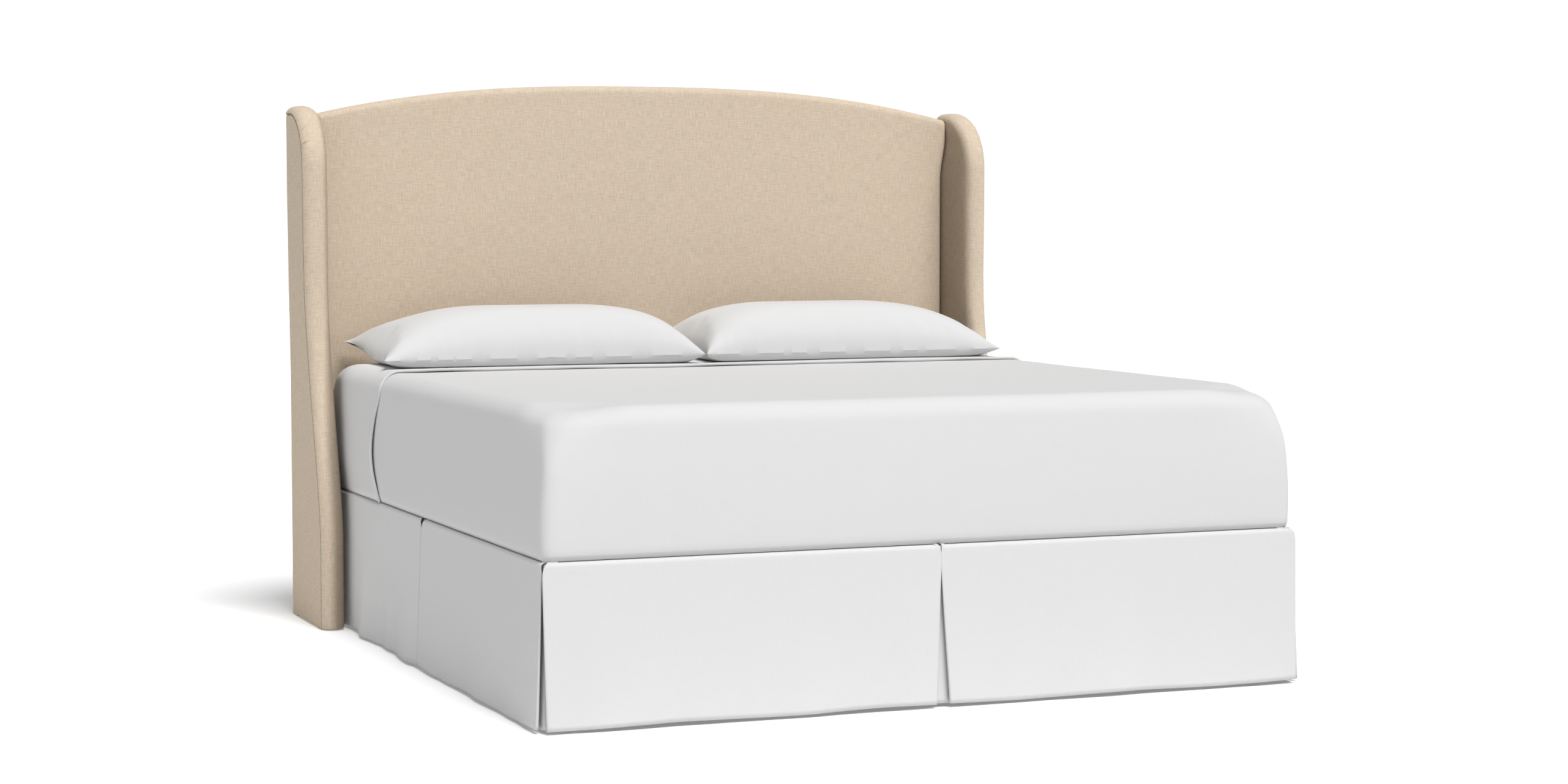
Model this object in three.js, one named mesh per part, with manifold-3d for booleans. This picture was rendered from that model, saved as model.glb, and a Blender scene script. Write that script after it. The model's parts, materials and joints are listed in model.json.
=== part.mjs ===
// Upholstered wingback bed: arched headboard, steel bed frame, split foundation, mattress,
// bedding, two pillows and a tailored bed skirt.
// Millimetres, +Z up. The origin is on the floor, in the middle of the footprint.
// +Y points to the headboard and +X to the right of someone standing at the foot.

import * as THREE from 'three';
import { mergeVertices } from 'three/addons/utils/BufferGeometryUtils.js';
import Module from 'manifold-3d';

const wasm = await Module();
wasm.setup();

// ---------------------------------------------------------------- driving dimensions

// Mattress, measured over the bedding that covers it.
const mattressWidth = 1930;
const mattressLength = 2032;
const mattressThickness = 352;
const mattressEdgeRadius = 60;
const mattressCornerRadius = 75;

// Bedding layers.
const fittedSheet = 1.5;
const coverlet = 4;
const turnedSheet = 4;
const coverletHead = 460; // from the head end of the mattress to the coverlet's hidden hem
const turnedSheetHem = 580; // from the head end of the mattress to the turned sheet's hem
const turnedSheetHead = 20;
const tuckHeight = 8; // how far above the mattress underside the layers stop

// Pillows.
const pillowWidth = 914;
const pillowDepth = 480;
const pillowCrown = 128;
const pillowBelly = 26;
const pillowEdge = 6;
const pillowFromHead = 10; // from the head end of the mattress to the pillow's back seam
const pillowSpacing = 927; // between the two pillows' middles

// Foundation, in two halves.
const foundationHeight = 205;
const foundationInset = 5;
const foundationSplit = 1;
const foundationCorner = 20;

// Steel bed frame.
const glideHeight = 22;
const glideRadius = 27;
const glideNeck = 19;
const legLength = 126;
const legRadius = 16;
const legFlangeRadius = 26;
const legFlange = 3;
const crossRailHeight = 25;
const crossRailDepth = 38;
const crossRailWall = 2;
const railFlange = 38;
const railThickness = 3;
const cornerLegFromSide = 75;
const endCrossRailInset = 216; // from each end of the mattress
const bracketArm = 120;
const bracketHeight = 66;
const boltRadius = 4;
const boltHead = 9;
const boltHeadTop = 6;
const boltHeadHeight = 5;

// Bed skirt.
const skirtThickness = 3;
const skirtDeck = 2;
const skirtStandOff = 10; // outer face at the top, beyond the mattress
const skirtFlareFoot = 18;
const skirtFlareSide = 16;
const skirtWingGap = 1; // between the hem and the wing's inner face
const hemHeight = 9;
const centrePleatOpening = 33;
const cornerPleatOpening = 3;
const sidePleatOpening = 6;
const pleatInsertWidth = 200;
const cornerInsertLeg = 95;
const pleatInsert = 2;

// Headboard.
const headboardHeight = 1533;
const archRise = 86;
const archPower = 2.6;
const headGap = 15;
const padThickness = 40;
const panelThickness = 9;
const framingDepth = 38;
const backCover = 2;
const padWrap = 15; // padding over the top of the timber
const padAboveBracket = 10;
const postWidth = 89;
const bottomRailHeight = 90;
const topRailHeight = 110; // at its ends, under the arch

// Wings.
const wingClearance = 26; // from the mattress side to the wing's inner face
const wingInnerPad = 24;
const wingBoard = 38;
const wingOuterPad = 8;
const wingDepthLow = 351; // from the back face to the front seam, beside the mattress
const wingDepthHigh = 196;
const wingStepStart = 240;
const wingStepEnd = 1000;
const wingStepEaseLow = 170;
const wingStepEaseHigh = 300;
const wingSeamDrop = 93; // from the top of the arch to the wing's top seam
const wingCornerRadius = 150;
const wingBandCrown = 33;
const wingBandTop = 20;
const wingBandRounding = 26;
const wingGlideHeight = 4;
const wingGlideRadius = 17;
const wingGlideInset = 42;

const gap = 0.3; // between faces that touch
const boltClearance = 0.5;

const roundSegments = 20;
const boltSegments = 16;
const archSteps = 24;
const overcut = 60; // how far a cutting shape runs past what it cuts

// ---------------------------------------------------------------- derived levels and planes

const headboardDepth = backCover + framingDepth + panelThickness + padThickness + 3 * gap;
const hemOut = skirtStandOff + skirtFlareFoot;
const overallDepth = hemOut + mattressLength + headGap + headboardDepth;

const mattressFoot = -overallDepth / 2 + hemOut;
const mattressHead = mattressFoot + mattressLength;
const mattressMiddle = (mattressFoot + mattressHead) / 2;
const mattressSide = mattressWidth / 2;

const backFace = overallDepth / 2;
const framingBack = backFace - backCover - gap;
const framingFront = framingBack - framingDepth;
const panelBack = framingFront - gap;
const panelFront = panelBack - panelThickness;
const padFront = panelFront - gap - padThickness;

const legBottom = glideHeight + gap;
const legTop = legBottom + legLength;
const crossRailBottom = legTop + gap;
const crossRailTop = crossRailBottom + crossRailHeight;
const railBottom = crossRailTop + gap;
const railTop = railBottom + railThickness;
const foundationBottom = railTop + gap;
const foundationTop = foundationBottom + foundationHeight;
const deckBottom = foundationTop + gap;
const deckTop = deckBottom + skirtDeck;
const mattressBottom = deckTop + gap;
const beddingTop = mattressBottom + mattressThickness;

const foundationSide = mattressSide - foundationInset;
const padBottom = railBottom + bracketHeight + padAboveBracket;
const railInner = foundationSide + gap; // inside of the rail's upright flange
const railOuter = railInner + railThickness;
const skirtTopOuter = mattressSide + skirtStandOff;
const skirtTopInner = skirtTopOuter - skirtThickness;
const skirtFoot = mattressFoot - skirtStandOff;

const wingInner = mattressSide + wingClearance;
const wingBoardInner = wingInner + wingInnerPad + gap;
const wingOuterPadInner = wingBoardInner + wingBoard + gap;
const wingOuter = wingOuterPadInner + wingOuterPad;
const wingBottom = wingGlideHeight + gap;
const wingSeamTop = headboardHeight - wingSeamDrop;
const headboardSide = wingBoardInner - gap;
const postInner = headboardSide - postWidth;

const sides = [
  { name: 'left', sign: -1 },
  { name: 'right', sign: 1 },
];

// ---------------------------------------------------------------- materials

function material(color, roughness, metalness = 0) {
  return new THREE.MeshStandardMaterial({ color, roughness, metalness });
}

const linen = () => material(0xb9ab98, 0.95);
const whiteSheet = () => material(0xe9e9e8, 0.9);
const skirtCotton = () => material(0xe4e4e3, 0.92);
const ticking = () => material(0xdedcd6, 0.9);
const lining = () => material(0x8f877c, 0.95);
const timber = () => material(0xc9a877, 0.7);
const plywood = () => material(0xb8925f, 0.75);
const darkSteel = () => material(0x2f2b28, 0.5, 0.6);
const zinc = () => material(0xb4b6b8, 0.4, 0.9);
const blackPlastic = () => material(0x1c1c1c, 0.6);

// ---------------------------------------------------------------- building helpers

const bed = new THREE.Group();

function add(name, geometry, meshMaterial, position = [0, 0, 0]) {
  const mesh = new THREE.Mesh(geometry, meshMaterial);
  mesh.name = name;
  mesh.position.set(...position);
  bed.add(mesh);
  return mesh;
}

function toSolid(geometry) {
  const bare = geometry.clone();
  bare.deleteAttribute('normal');
  bare.deleteAttribute('uv');
  const merged = mergeVertices(bare, 1e-4);
  return new wasm.Manifold(new wasm.Mesh({
    numProp: 3,
    vertProperties: new Float32Array(merged.attributes.position.array),
    triVerts: new Uint32Array(merged.index.array),
  }));
}

function toGeometry(solid) {
  const mesh = solid.getMesh();
  const geometry = new THREE.BufferGeometry();
  geometry.setAttribute('position', new THREE.BufferAttribute(mesh.vertProperties, 3));
  geometry.setIndex(new THREE.BufferAttribute(mesh.triVerts, 1));
  geometry.computeVertexNormals();
  return geometry;
}

// A block given by its lowest and highest corners.
function block(low, high) {
  const size = high.map((value, axis) => value - low[axis]);
  const geometry = new THREE.BoxGeometry(...size);
  geometry.translate(...low.map((value, axis) => value + size[axis] / 2));
  return geometry;
}

// Turns a shape drawn in (y, z) and extruded along its normal into one that runs along +X.
function alongX(geometry, start) {
  const basis = new THREE.Matrix4().makeBasis(
    new THREE.Vector3(0, 1, 0),
    new THREE.Vector3(0, 0, 1),
    new THREE.Vector3(1, 0, 0),
  );
  geometry.applyMatrix4(basis);
  geometry.translate(start, 0, 0);
  return geometry;
}

// Extrudes a shape drawn in (x, z) between two planes across Y.
function alongY(shape, front, back, curveSegments = 12) {
  const geometry = new THREE.ExtrudeGeometry(shape, {
    depth: back - front,
    bevelEnabled: false,
    curveSegments,
  });
  geometry.rotateX(Math.PI / 2);
  geometry.translate(0, back, 0);
  return geometry;
}

// The start of a slab that spans inner..outer from the middle, on either side of the bed.
function slabStart(sign, inner, outer) {
  return sign > 0 ? inner : -outer;
}

function roundedRectangle(width, length, radius) {
  const x = width / 2;
  const y = length / 2;
  const shape = new THREE.Shape();
  shape.moveTo(-x + radius, -y);
  shape.lineTo(x - radius, -y);
  shape.absarc(x - radius, -y + radius, radius, -Math.PI / 2, 0);
  shape.lineTo(x, y - radius);
  shape.absarc(x - radius, y - radius, radius, 0, Math.PI / 2);
  shape.lineTo(-x + radius, y);
  shape.absarc(-x + radius, y - radius, radius, Math.PI / 2, Math.PI);
  shape.lineTo(-x, -y + radius);
  shape.absarc(-x + radius, -y + radius, radius, Math.PI, Math.PI * 1.5);
  return shape;
}

// ---------------------------------------------------------------- mattress and bedding

// The mattress outline with every face moved in by inset and its underside at bottom.
function mattressForm(inset, bottom) {
  const edge = mattressEdgeRadius - inset;
  const height = beddingTop - inset - bottom;
  const shape = roundedRectangle(
    mattressWidth - 2 * inset,
    mattressLength - 2 * inset,
    mattressCornerRadius - inset,
  );
  const geometry = new THREE.ExtrudeGeometry(shape, {
    depth: height - 2 * edge,
    bevelEnabled: true,
    bevelThickness: edge,
    bevelSize: edge,
    bevelOffset: -edge,
    bevelSegments: 3,
    curveSegments: 3,
  });
  geometry.translate(0, mattressMiddle, bottom + edge);
  return geometry;
}

// A layer of cloth over the mattress, open underneath, between two lines across the bed.
function beddingLayer(name, inset, thickness, from, to, cloth) {
  const below = mattressBottom - mattressEdgeRadius - overcut;
  const outer = toSolid(mattressForm(inset, below));
  const inner = toSolid(mattressForm(inset + thickness, below - overcut));
  const reach = toSolid(block(
    [-mattressSide - overcut, from, mattressBottom + tuckHeight],
    [mattressSide + overcut, to, beddingTop + overcut],
  ));
  add(name, toGeometry(outer.subtract(inner).intersect(reach)), cloth);
}

function addMattress() {
  const turnedInset = 0;
  const coverletInset = turnedInset + turnedSheet + gap;
  const fittedInset = coverletInset + coverlet + gap;
  const coreInset = fittedInset + fittedSheet + gap;
  const core = mattressForm(coreInset, mattressBottom);
  add('mattress', core, ticking());
  beddingLayer('fitted_sheet', fittedInset, fittedSheet,
    mattressFoot, mattressHead, whiteSheet());
  beddingLayer('coverlet', coverletInset, coverlet,
    mattressFoot, mattressHead - coverletHead, whiteSheet());
  beddingLayer('turned_sheet', turnedInset, turnedSheet,
    mattressHead - turnedSheetHem, mattressHead - turnedSheetHead, whiteSheet());
}

// A cushion with a thin seam all round, crowned above it and flatter below it.
function pillowForm() {
  const geometry = new THREE.BoxGeometry(2, 2, 2, 12, 8, 1);
  const position = geometry.attributes.position;
  const fullness = (t) => Math.sqrt(Math.max(0, 1 - Math.abs(t) ** 2.6));
  for (let i = 0; i < position.count; i += 1) {
    const u = position.getX(i);
    const v = position.getY(i);
    const swell = fullness(u) * fullness(v);
    const pullIn = 1 - 0.03 * (1 - Math.abs(u) ** 4) * Math.abs(v) ** 8;
    const above = position.getZ(i) > 0;
    const height = above ? pillowCrown * swell + pillowEdge / 2 : -pillowBelly * swell ** 0.5;
    position.setX(i, u * pillowWidth / 2);
    position.setY(i, v * pullIn * pillowDepth / 2);
    position.setZ(i, above ? height : height - pillowEdge / 2);
  }
  geometry.computeVertexNormals();
  return geometry;
}

function addPillows() {
  const seam = beddingTop + gap + pillowBelly + pillowEdge / 2;
  const middle = mattressHead - pillowFromHead - pillowDepth / 2;
  for (const { name, sign } of sides) {
    add(`pillow_${name}`, pillowForm(), whiteSheet(), [sign * pillowSpacing / 2, middle, seam]);
  }
}

// ---------------------------------------------------------------- foundation

function addFoundation() {
  const length = mattressLength - 2 * foundationInset;
  const width = foundationSide - foundationSplit / 2;
  for (const { name, sign } of sides) {
    const half = new THREE.ExtrudeGeometry(
      roundedRectangle(width, length, foundationCorner),
      { depth: foundationHeight, bevelEnabled: false, curveSegments: 4 },
    );
    const x = sign * (foundationSplit / 2 + width / 2);
    add(`foundation_${name}`, half, ticking(), [x, mattressMiddle, foundationBottom]);
  }
}

// ---------------------------------------------------------------- steel bed frame

const railStart = mattressFoot + foundationInset;
const railEnd = mattressHead - foundationInset;
const bracketY = framingFront - gap - railThickness;
const boltX = (postInner + railOuter) / 2;
const boltZ = railBottom + bracketHeight / 2;
const crossRailPlaces = [
  ['foot', mattressFoot + endCrossRailInset],
  ['middle', mattressMiddle],
  ['head', mattressHead - endCrossRailInset],
];

function addSideRails() {
  const angle = new THREE.Shape();
  angle.moveTo(railOuter, railBottom);
  angle.lineTo(railOuter, railBottom + railFlange);
  angle.lineTo(railInner, railBottom + railFlange);
  angle.lineTo(railInner, railTop);
  angle.lineTo(railOuter - railFlange, railTop);
  angle.lineTo(railOuter - railFlange, railBottom);
  for (const { name, sign } of sides) {
    const rail = alongY(angle, railStart, railEnd);
    if (sign < 0) {
      rail.rotateZ(Math.PI);
      rail.translate(0, railStart + railEnd, 0);
    }
    add(`side_rail_${name}`, rail, darkSteel());
  }
}

function addCrossRails() {
  const tube = new THREE.Shape();
  const half = crossRailDepth / 2;
  tube.moveTo(-half, 0);
  tube.lineTo(half, 0);
  tube.lineTo(half, crossRailHeight);
  tube.lineTo(-half, crossRailHeight);
  const bore = new THREE.Path();
  bore.moveTo(-half + crossRailWall, crossRailWall);
  bore.lineTo(-half + crossRailWall, crossRailHeight - crossRailWall);
  bore.lineTo(half - crossRailWall, crossRailHeight - crossRailWall);
  bore.lineTo(half - crossRailWall, crossRailWall);
  tube.holes.push(bore);
  for (const [name, y] of crossRailPlaces) {
    const rail = new THREE.ExtrudeGeometry(tube, { depth: 2 * railInner, bevelEnabled: false });
    add(`cross_rail_${name}`, alongX(rail, -railInner), darkSteel(), [0, y, crossRailBottom]);
  }
}

// Turns a profile of [radius, height] points about the vertical axis.
function turned(profile, segments) {
  const points = profile.map(([radius, height]) => new THREE.Vector2(radius, height));
  const geometry = new THREE.LatheGeometry(points, segments);
  geometry.rotateX(Math.PI / 2);
  return geometry;
}

function legForm() {
  return turned([
    [0, 0],
    [legRadius, 0],
    [legRadius, legLength - legFlange],
    [legFlangeRadius, legLength - legFlange],
    [legFlangeRadius, legLength],
    [0, legLength],
  ], roundSegments);
}

function glideForm(baseRadius, neckRadius, height) {
  return turned([
    [0, 0],
    [baseRadius, 0],
    [baseRadius, height / 5],
    [neckRadius, height],
    [0, height],
  ], roundSegments);
}

function addLegs() {
  const columns = [
    ['left', -mattressSide + cornerLegFromSide],
    ['centre', 0],
    ['right', mattressSide - cornerLegFromSide],
  ];
  for (const [row, y] of crossRailPlaces.filter(([name]) => name !== 'middle')) {
    for (const [column, x] of columns) {
      add(`leg_${row}_${column}`, legForm(), darkSteel(), [x, y, legBottom]);
      const glide = glideForm(glideRadius, glideNeck, glideHeight);
      add(`leg_glide_${row}_${column}`, glide, blackPlastic(), [x, y, 0]);
    }
  }
}

function boltHole() {
  const radius = boltRadius + boltClearance;
  const length = 2 * (framingDepth + overcut);
  const hole = new THREE.CylinderGeometry(radius, radius, length, boltSegments);
  hole.translate(boltX, bracketY, boltZ);
  return toSolid(hole);
}

function mirrorX(geometry) {
  geometry.scale(-1, 1, 1);
  const index = geometry.index.array;
  for (let i = 0; i < index.length; i += 3) {
    [index[i], index[i + 1]] = [index[i + 1], index[i]];
  }
  geometry.computeVertexNormals();
  return geometry;
}

function addBrackets() {
  const armInner = railOuter + gap;
  const armOuter = armInner + railThickness;
  const plateInner = postInner + gap;
  const plan = new THREE.Shape();
  plan.moveTo(armOuter, railEnd - bracketArm);
  plan.lineTo(armOuter, bracketY + railThickness);
  plan.lineTo(plateInner, bracketY + railThickness);
  plan.lineTo(plateInner, bracketY);
  plan.lineTo(armInner, bracketY);
  plan.lineTo(armInner, railEnd - bracketArm);
  const bracket = new THREE.ExtrudeGeometry(plan, { depth: bracketHeight, bevelEnabled: false });
  bracket.translate(0, 0, railBottom);
  const drilled = toSolid(bracket).subtract(boltHole());
  for (const { name, sign } of sides) {
    const geometry = toGeometry(drilled);
    add(`headboard_bracket_${name}`, sign < 0 ? mirrorX(geometry) : geometry, darkSteel());
    const bolt = boltForm();
    add(`headboard_bolt_${name}`, bolt, zinc(), [sign * boltX, bracketY - gap, boltZ]);
  }
}

// A round-head bolt along Y, with its head in front of the bracket.
function boltForm() {
  const shank = railThickness + 2 * gap + framingDepth;
  const bolt = turned([
    [0, -boltHeadHeight],
    [boltHeadTop, -boltHeadHeight],
    [boltHead, -boltHeadHeight / 2],
    [boltHead, 0],
    [boltRadius, 0],
    [boltRadius, shank],
    [0, shank],
  ], boltSegments);
  bolt.rotateX(-Math.PI / 2);
  return bolt;
}

// ---------------------------------------------------------------- bed skirt

// A hanging panel whose outer face looks to -Y. Its lower edge stands out by flare, and is
// shorter than the top by openStart and openEnd.
function skirtPanel(length, flare, openStart, openEnd) {
  const height = deckBottom - gap - hemHeight;
  const geometry = new THREE.BoxGeometry(length, skirtThickness, height);
  const position = geometry.attributes.position;
  for (let i = 0; i < position.count; i += 1) {
    if (position.getZ(i) < 0) {
      const open = position.getX(i) < 0 ? openStart : -openEnd;
      position.setX(i, position.getX(i) + open);
      position.setY(i, position.getY(i) - flare);
    }
  }
  geometry.translate(length / 2, skirtThickness / 2, hemHeight + height / 2);
  geometry.computeVertexNormals();
  return geometry;
}

function addSkirtDeck() {
  const deck = block(
    [-skirtTopOuter, skirtFoot, deckBottom],
    [skirtTopOuter, mattressHead - foundationInset, deckTop],
  );
  add('skirt_deck', deck, lining());
}

function addFootPanels() {
  const end = skirtTopInner - gap;
  const length = end - gap / 2;
  const centre = centrePleatOpening / 2;
  const left = skirtPanel(length, skirtFlareFoot, cornerPleatOpening, centre);
  const right = skirtPanel(length, skirtFlareFoot, centre, cornerPleatOpening);
  add('skirt_foot_left', left, skirtCotton(), [-end, skirtFoot, 0]);
  add('skirt_foot_right', right, skirtCotton(), [gap / 2, skirtFoot, 0]);
}

// Each side has a foot panel that reaches round the corner, and a head panel that hangs
// straighter, so that it passes inside the wing.
function addSidePanels() {
  const headEnd = mattressHead - foundationInset;
  const footLength = mattressMiddle - skirtFoot - gap / 2;
  const headLength = headEnd - mattressMiddle - gap / 2;
  const flareHead = wingInner - skirtTopOuter - skirtWingGap;
  const pleat = sidePleatOpening / 2;
  for (const { name, sign } of sides) {
    const foot = sign > 0
      ? skirtPanel(footLength, skirtFlareSide, -skirtFlareFoot, pleat)
      : skirtPanel(footLength, skirtFlareSide, pleat, -skirtFlareFoot);
    const head = sign > 0
      ? skirtPanel(headLength, flareHead, pleat, 0)
      : skirtPanel(headLength, flareHead, 0, pleat);
    const footY = sign > 0 ? skirtFoot : mattressMiddle - gap / 2;
    const headY = sign > 0 ? mattressMiddle + gap / 2 : headEnd;
    const x = sign * skirtTopOuter;
    const turn = sign * Math.PI / 2;
    add(`skirt_side_foot_${name}`, foot, skirtCotton(), [x, footY, 0]).rotation.z = turn;
    add(`skirt_side_head_${name}`, head, skirtCotton(), [x, headY, 0]).rotation.z = turn;
  }
}

// The cloth seen through each pleat, just behind the panels.
function addPleatInserts() {
  const low = hemHeight + 3;
  const high = deckBottom - gap;
  const front = skirtFoot + skirtThickness + gap;
  const outer = skirtTopInner - gap;
  const half = pleatInsertWidth / 2;
  add('skirt_insert_foot',
    block([-half, front, low], [half, front + pleatInsert, high]), skirtCotton());
  for (const { name, sign } of sides) {
    const x = slabStart(sign, outer - pleatInsert, outer);
    const strip = block(
      [x, mattressMiddle - half, low],
      [x + pleatInsert, mattressMiddle + half, high],
    );
    add(`skirt_insert_side_${name}`, strip, skirtCotton());
    const plan = new THREE.Shape();
    plan.moveTo(sign * outer, front);
    plan.lineTo(sign * outer, front + cornerInsertLeg);
    plan.lineTo(sign * (outer - pleatInsert), front + cornerInsertLeg);
    plan.lineTo(sign * (outer - pleatInsert), front + pleatInsert);
    plan.lineTo(sign * (outer - cornerInsertLeg), front + pleatInsert);
    plan.lineTo(sign * (outer - cornerInsertLeg), front);
    const corner = new THREE.ExtrudeGeometry(plan, { depth: high - low, bevelEnabled: false });
    add(`skirt_insert_corner_${name}`, corner, skirtCotton(), [0, 0, low]);
  }
}

// ---------------------------------------------------------------- headboard

// Height of the arch above the floor, lowered by drop.
function archHeight(x, drop) {
  return headboardHeight - drop - archRise * (Math.abs(x) / mattressSide) ** archPower;
}

// The area under the arch, down to a level line, with its ends moved out by beyond.
function archShape(halfWidth, bottom, drop, beyond = 0) {
  const end = halfWidth + beyond;
  const shape = new THREE.Shape();
  shape.moveTo(-end, bottom);
  shape.lineTo(end, bottom);
  shape.lineTo(end, archHeight(halfWidth, drop));
  for (let i = 0; i <= archSteps; i += 1) {
    const x = halfWidth * (1 - 2 * i / archSteps);
    shape.lineTo(x, archHeight(x, drop));
  }
  shape.lineTo(-end, archHeight(halfWidth, drop));
  return shape;
}

function addHeadboardFraming() {
  const railBottomEdge = archHeight(headboardSide, padWrap) - topRailHeight;
  const topRail = alongY(archShape(headboardSide, railBottomEdge, padWrap),
    framingFront, framingBack);
  add('headboard_top_rail', topRail, timber());
  const reach = postInner - gap;
  add('headboard_bottom_rail',
    block([-reach, framingFront, padBottom], [reach, framingBack, padBottom + bottomRailHeight]),
    timber());
  const post = toSolid(block(
    [postInner, framingFront, wingBottom],
    [headboardSide, framingBack, railBottomEdge - gap],
  )).subtract(boltHole());
  for (const { name, sign } of sides) {
    const geometry = toGeometry(post);
    add(`headboard_post_${name}`, sign < 0 ? mirrorX(geometry) : geometry, timber());
  }
  const panel = alongY(archShape(headboardSide, padBottom, padWrap), panelFront, panelBack);
  add('headboard_panel', panel, plywood());
}

// Padding over the front of the panel and over the top of the framing.
function addHeadboardPad() {
  const padSide = wingInner - gap;
  const whole = toSolid(alongY(archShape(padSide, padBottom, 0), padFront, framingBack));
  const timberSpace = toSolid(alongY(
    archShape(headboardSide, padBottom - overcut, padWrap - gap, overcut),
    panelFront - gap,
    backFace + overcut,
  ));
  add('headboard_pad', toGeometry(whole.subtract(timberSpace)), linen());
}

function addBackCover() {
  const side = wingOuterPadInner - gap;
  const wingTop = wingSeamTop - padWrap;
  const shape = new THREE.Shape();
  shape.moveTo(-side, padBottom);
  shape.lineTo(side, padBottom);
  shape.lineTo(side, wingTop);
  for (let i = 0; i <= archSteps; i += 1) {
    const x = wingInner * (1 - 2 * i / archSteps);
    shape.lineTo(x, Math.max(wingTop, archHeight(x, padWrap)));
  }
  shape.lineTo(-side, wingTop);
  add('headboard_back_cover', alongY(shape, backFace - backCover, backFace), lining());
}

// ---------------------------------------------------------------- wings

// Side view of a wing: deep beside the mattress, stepped back above it in an S-curve, and
// round at the top front. The front edge is moved forwards by forward and the top up by up.
function wingShape(forward, up, back, bottom) {
  const low = backFace - wingDepthLow - forward;
  const high = backFace - wingDepthHigh - forward;
  const top = wingSeamTop + up;
  const radius = Math.min(wingCornerRadius + up, back - high);
  const shape = new THREE.Shape();
  shape.moveTo(back, bottom);
  shape.lineTo(back, top);
  shape.lineTo(high + radius, top);
  shape.absarc(high + radius, top - radius, radius, Math.PI / 2, Math.PI);
  shape.lineTo(high, wingStepEnd);
  shape.bezierCurveTo(
    high, wingStepEnd - wingStepEaseHigh,
    low, wingStepStart + wingStepEaseLow,
    low, wingStepStart,
  );
  shape.lineTo(low, bottom);
  shape.closePath();
  return shape;
}

function wingSlab(shape, inner, outer, sign) {
  const slab = new THREE.ExtrudeGeometry(shape, {
    depth: outer - inner,
    bevelEnabled: false,
    curveSegments: 9,
  });
  return alongX(slab, slabStart(sign, inner, outer));
}

// The soft band that rounds the wing's front and top edges, in front of the seam.
function wingBand(sign) {
  const round = wingBandRounding;
  const width = wingOuter - wingInner;
  const full = new THREE.ExtrudeGeometry(
    wingShape(wingBandCrown, wingBandTop, backFace + overcut, wingBottom - overcut),
    {
      depth: width - 2 * round,
      bevelEnabled: true,
      bevelThickness: round,
      bevelSize: round,
      bevelOffset: -round,
      bevelSegments: 3,
      curveSegments: 9,
    },
  );
  const outside = toSolid(alongX(full, slabStart(sign, wingInner, wingOuter) + round));
  const core = wingShape(gap, gap, backFace + 2 * overcut, wingBottom - 2 * overcut);
  const inside = toSolid(wingSlab(core, wingInner - overcut, wingOuter + overcut, sign));
  const reach = toSolid(block(
    [-wingOuter - overcut, -backFace, wingBottom],
    [wingOuter + overcut, framingBack, headboardHeight],
  ));
  return toGeometry(outside.subtract(inside).intersect(reach));
}

function addWings() {
  const glideX = (wingBoardInner + wingOuterPadInner - gap) / 2;
  for (const { name, sign } of sides) {
    const board = wingShape(0, 0, framingBack, wingBottom);
    add(`wing_board_${name}`,
      wingSlab(board, wingBoardInner, wingBoardInner + wingBoard, sign), timber());
    add(`wing_outer_pad_${name}`,
      wingSlab(board, wingOuterPadInner, wingOuter, sign), linen());
    const ahead = toSolid(block(
      [-wingOuter - overcut, -backFace, 0],
      [wingOuter + overcut, panelFront - gap, headboardHeight],
    ));
    const innerPad = toSolid(wingSlab(board, wingInner, wingInner + wingInnerPad, sign));
    add(`wing_inner_pad_${name}`, toGeometry(innerPad.intersect(ahead)), linen());
    add(`wing_front_band_${name}`, wingBand(sign), linen());
    const places = [
      ['front', backFace - wingDepthLow + wingGlideInset],
      ['back', framingBack - wingGlideInset],
    ];
    for (const [place, y] of places) {
      const glide = glideForm(wingGlideRadius, wingGlideRadius, wingGlideHeight);
      add(`wing_glide_${place}_${name}`, glide, blackPlastic(), [sign * glideX, y, 0]);
    }
  }
}

// ---------------------------------------------------------------- assembly

addMattress();
addPillows();
addFoundation();
addSideRails();
addCrossRails();
addLegs();
addBrackets();
addSkirtDeck();
addFootPanels();
addSidePanels();
addPleatInserts();
addHeadboardFraming();
addHeadboardPad();
addBackCover();
addWings();

export default bed;
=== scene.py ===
import json
import math

import bmesh
import bpy
import numpy as np
from bpy.props import FloatProperty, FloatVectorProperty, IntProperty, PointerProperty
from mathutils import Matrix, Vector, noise


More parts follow.
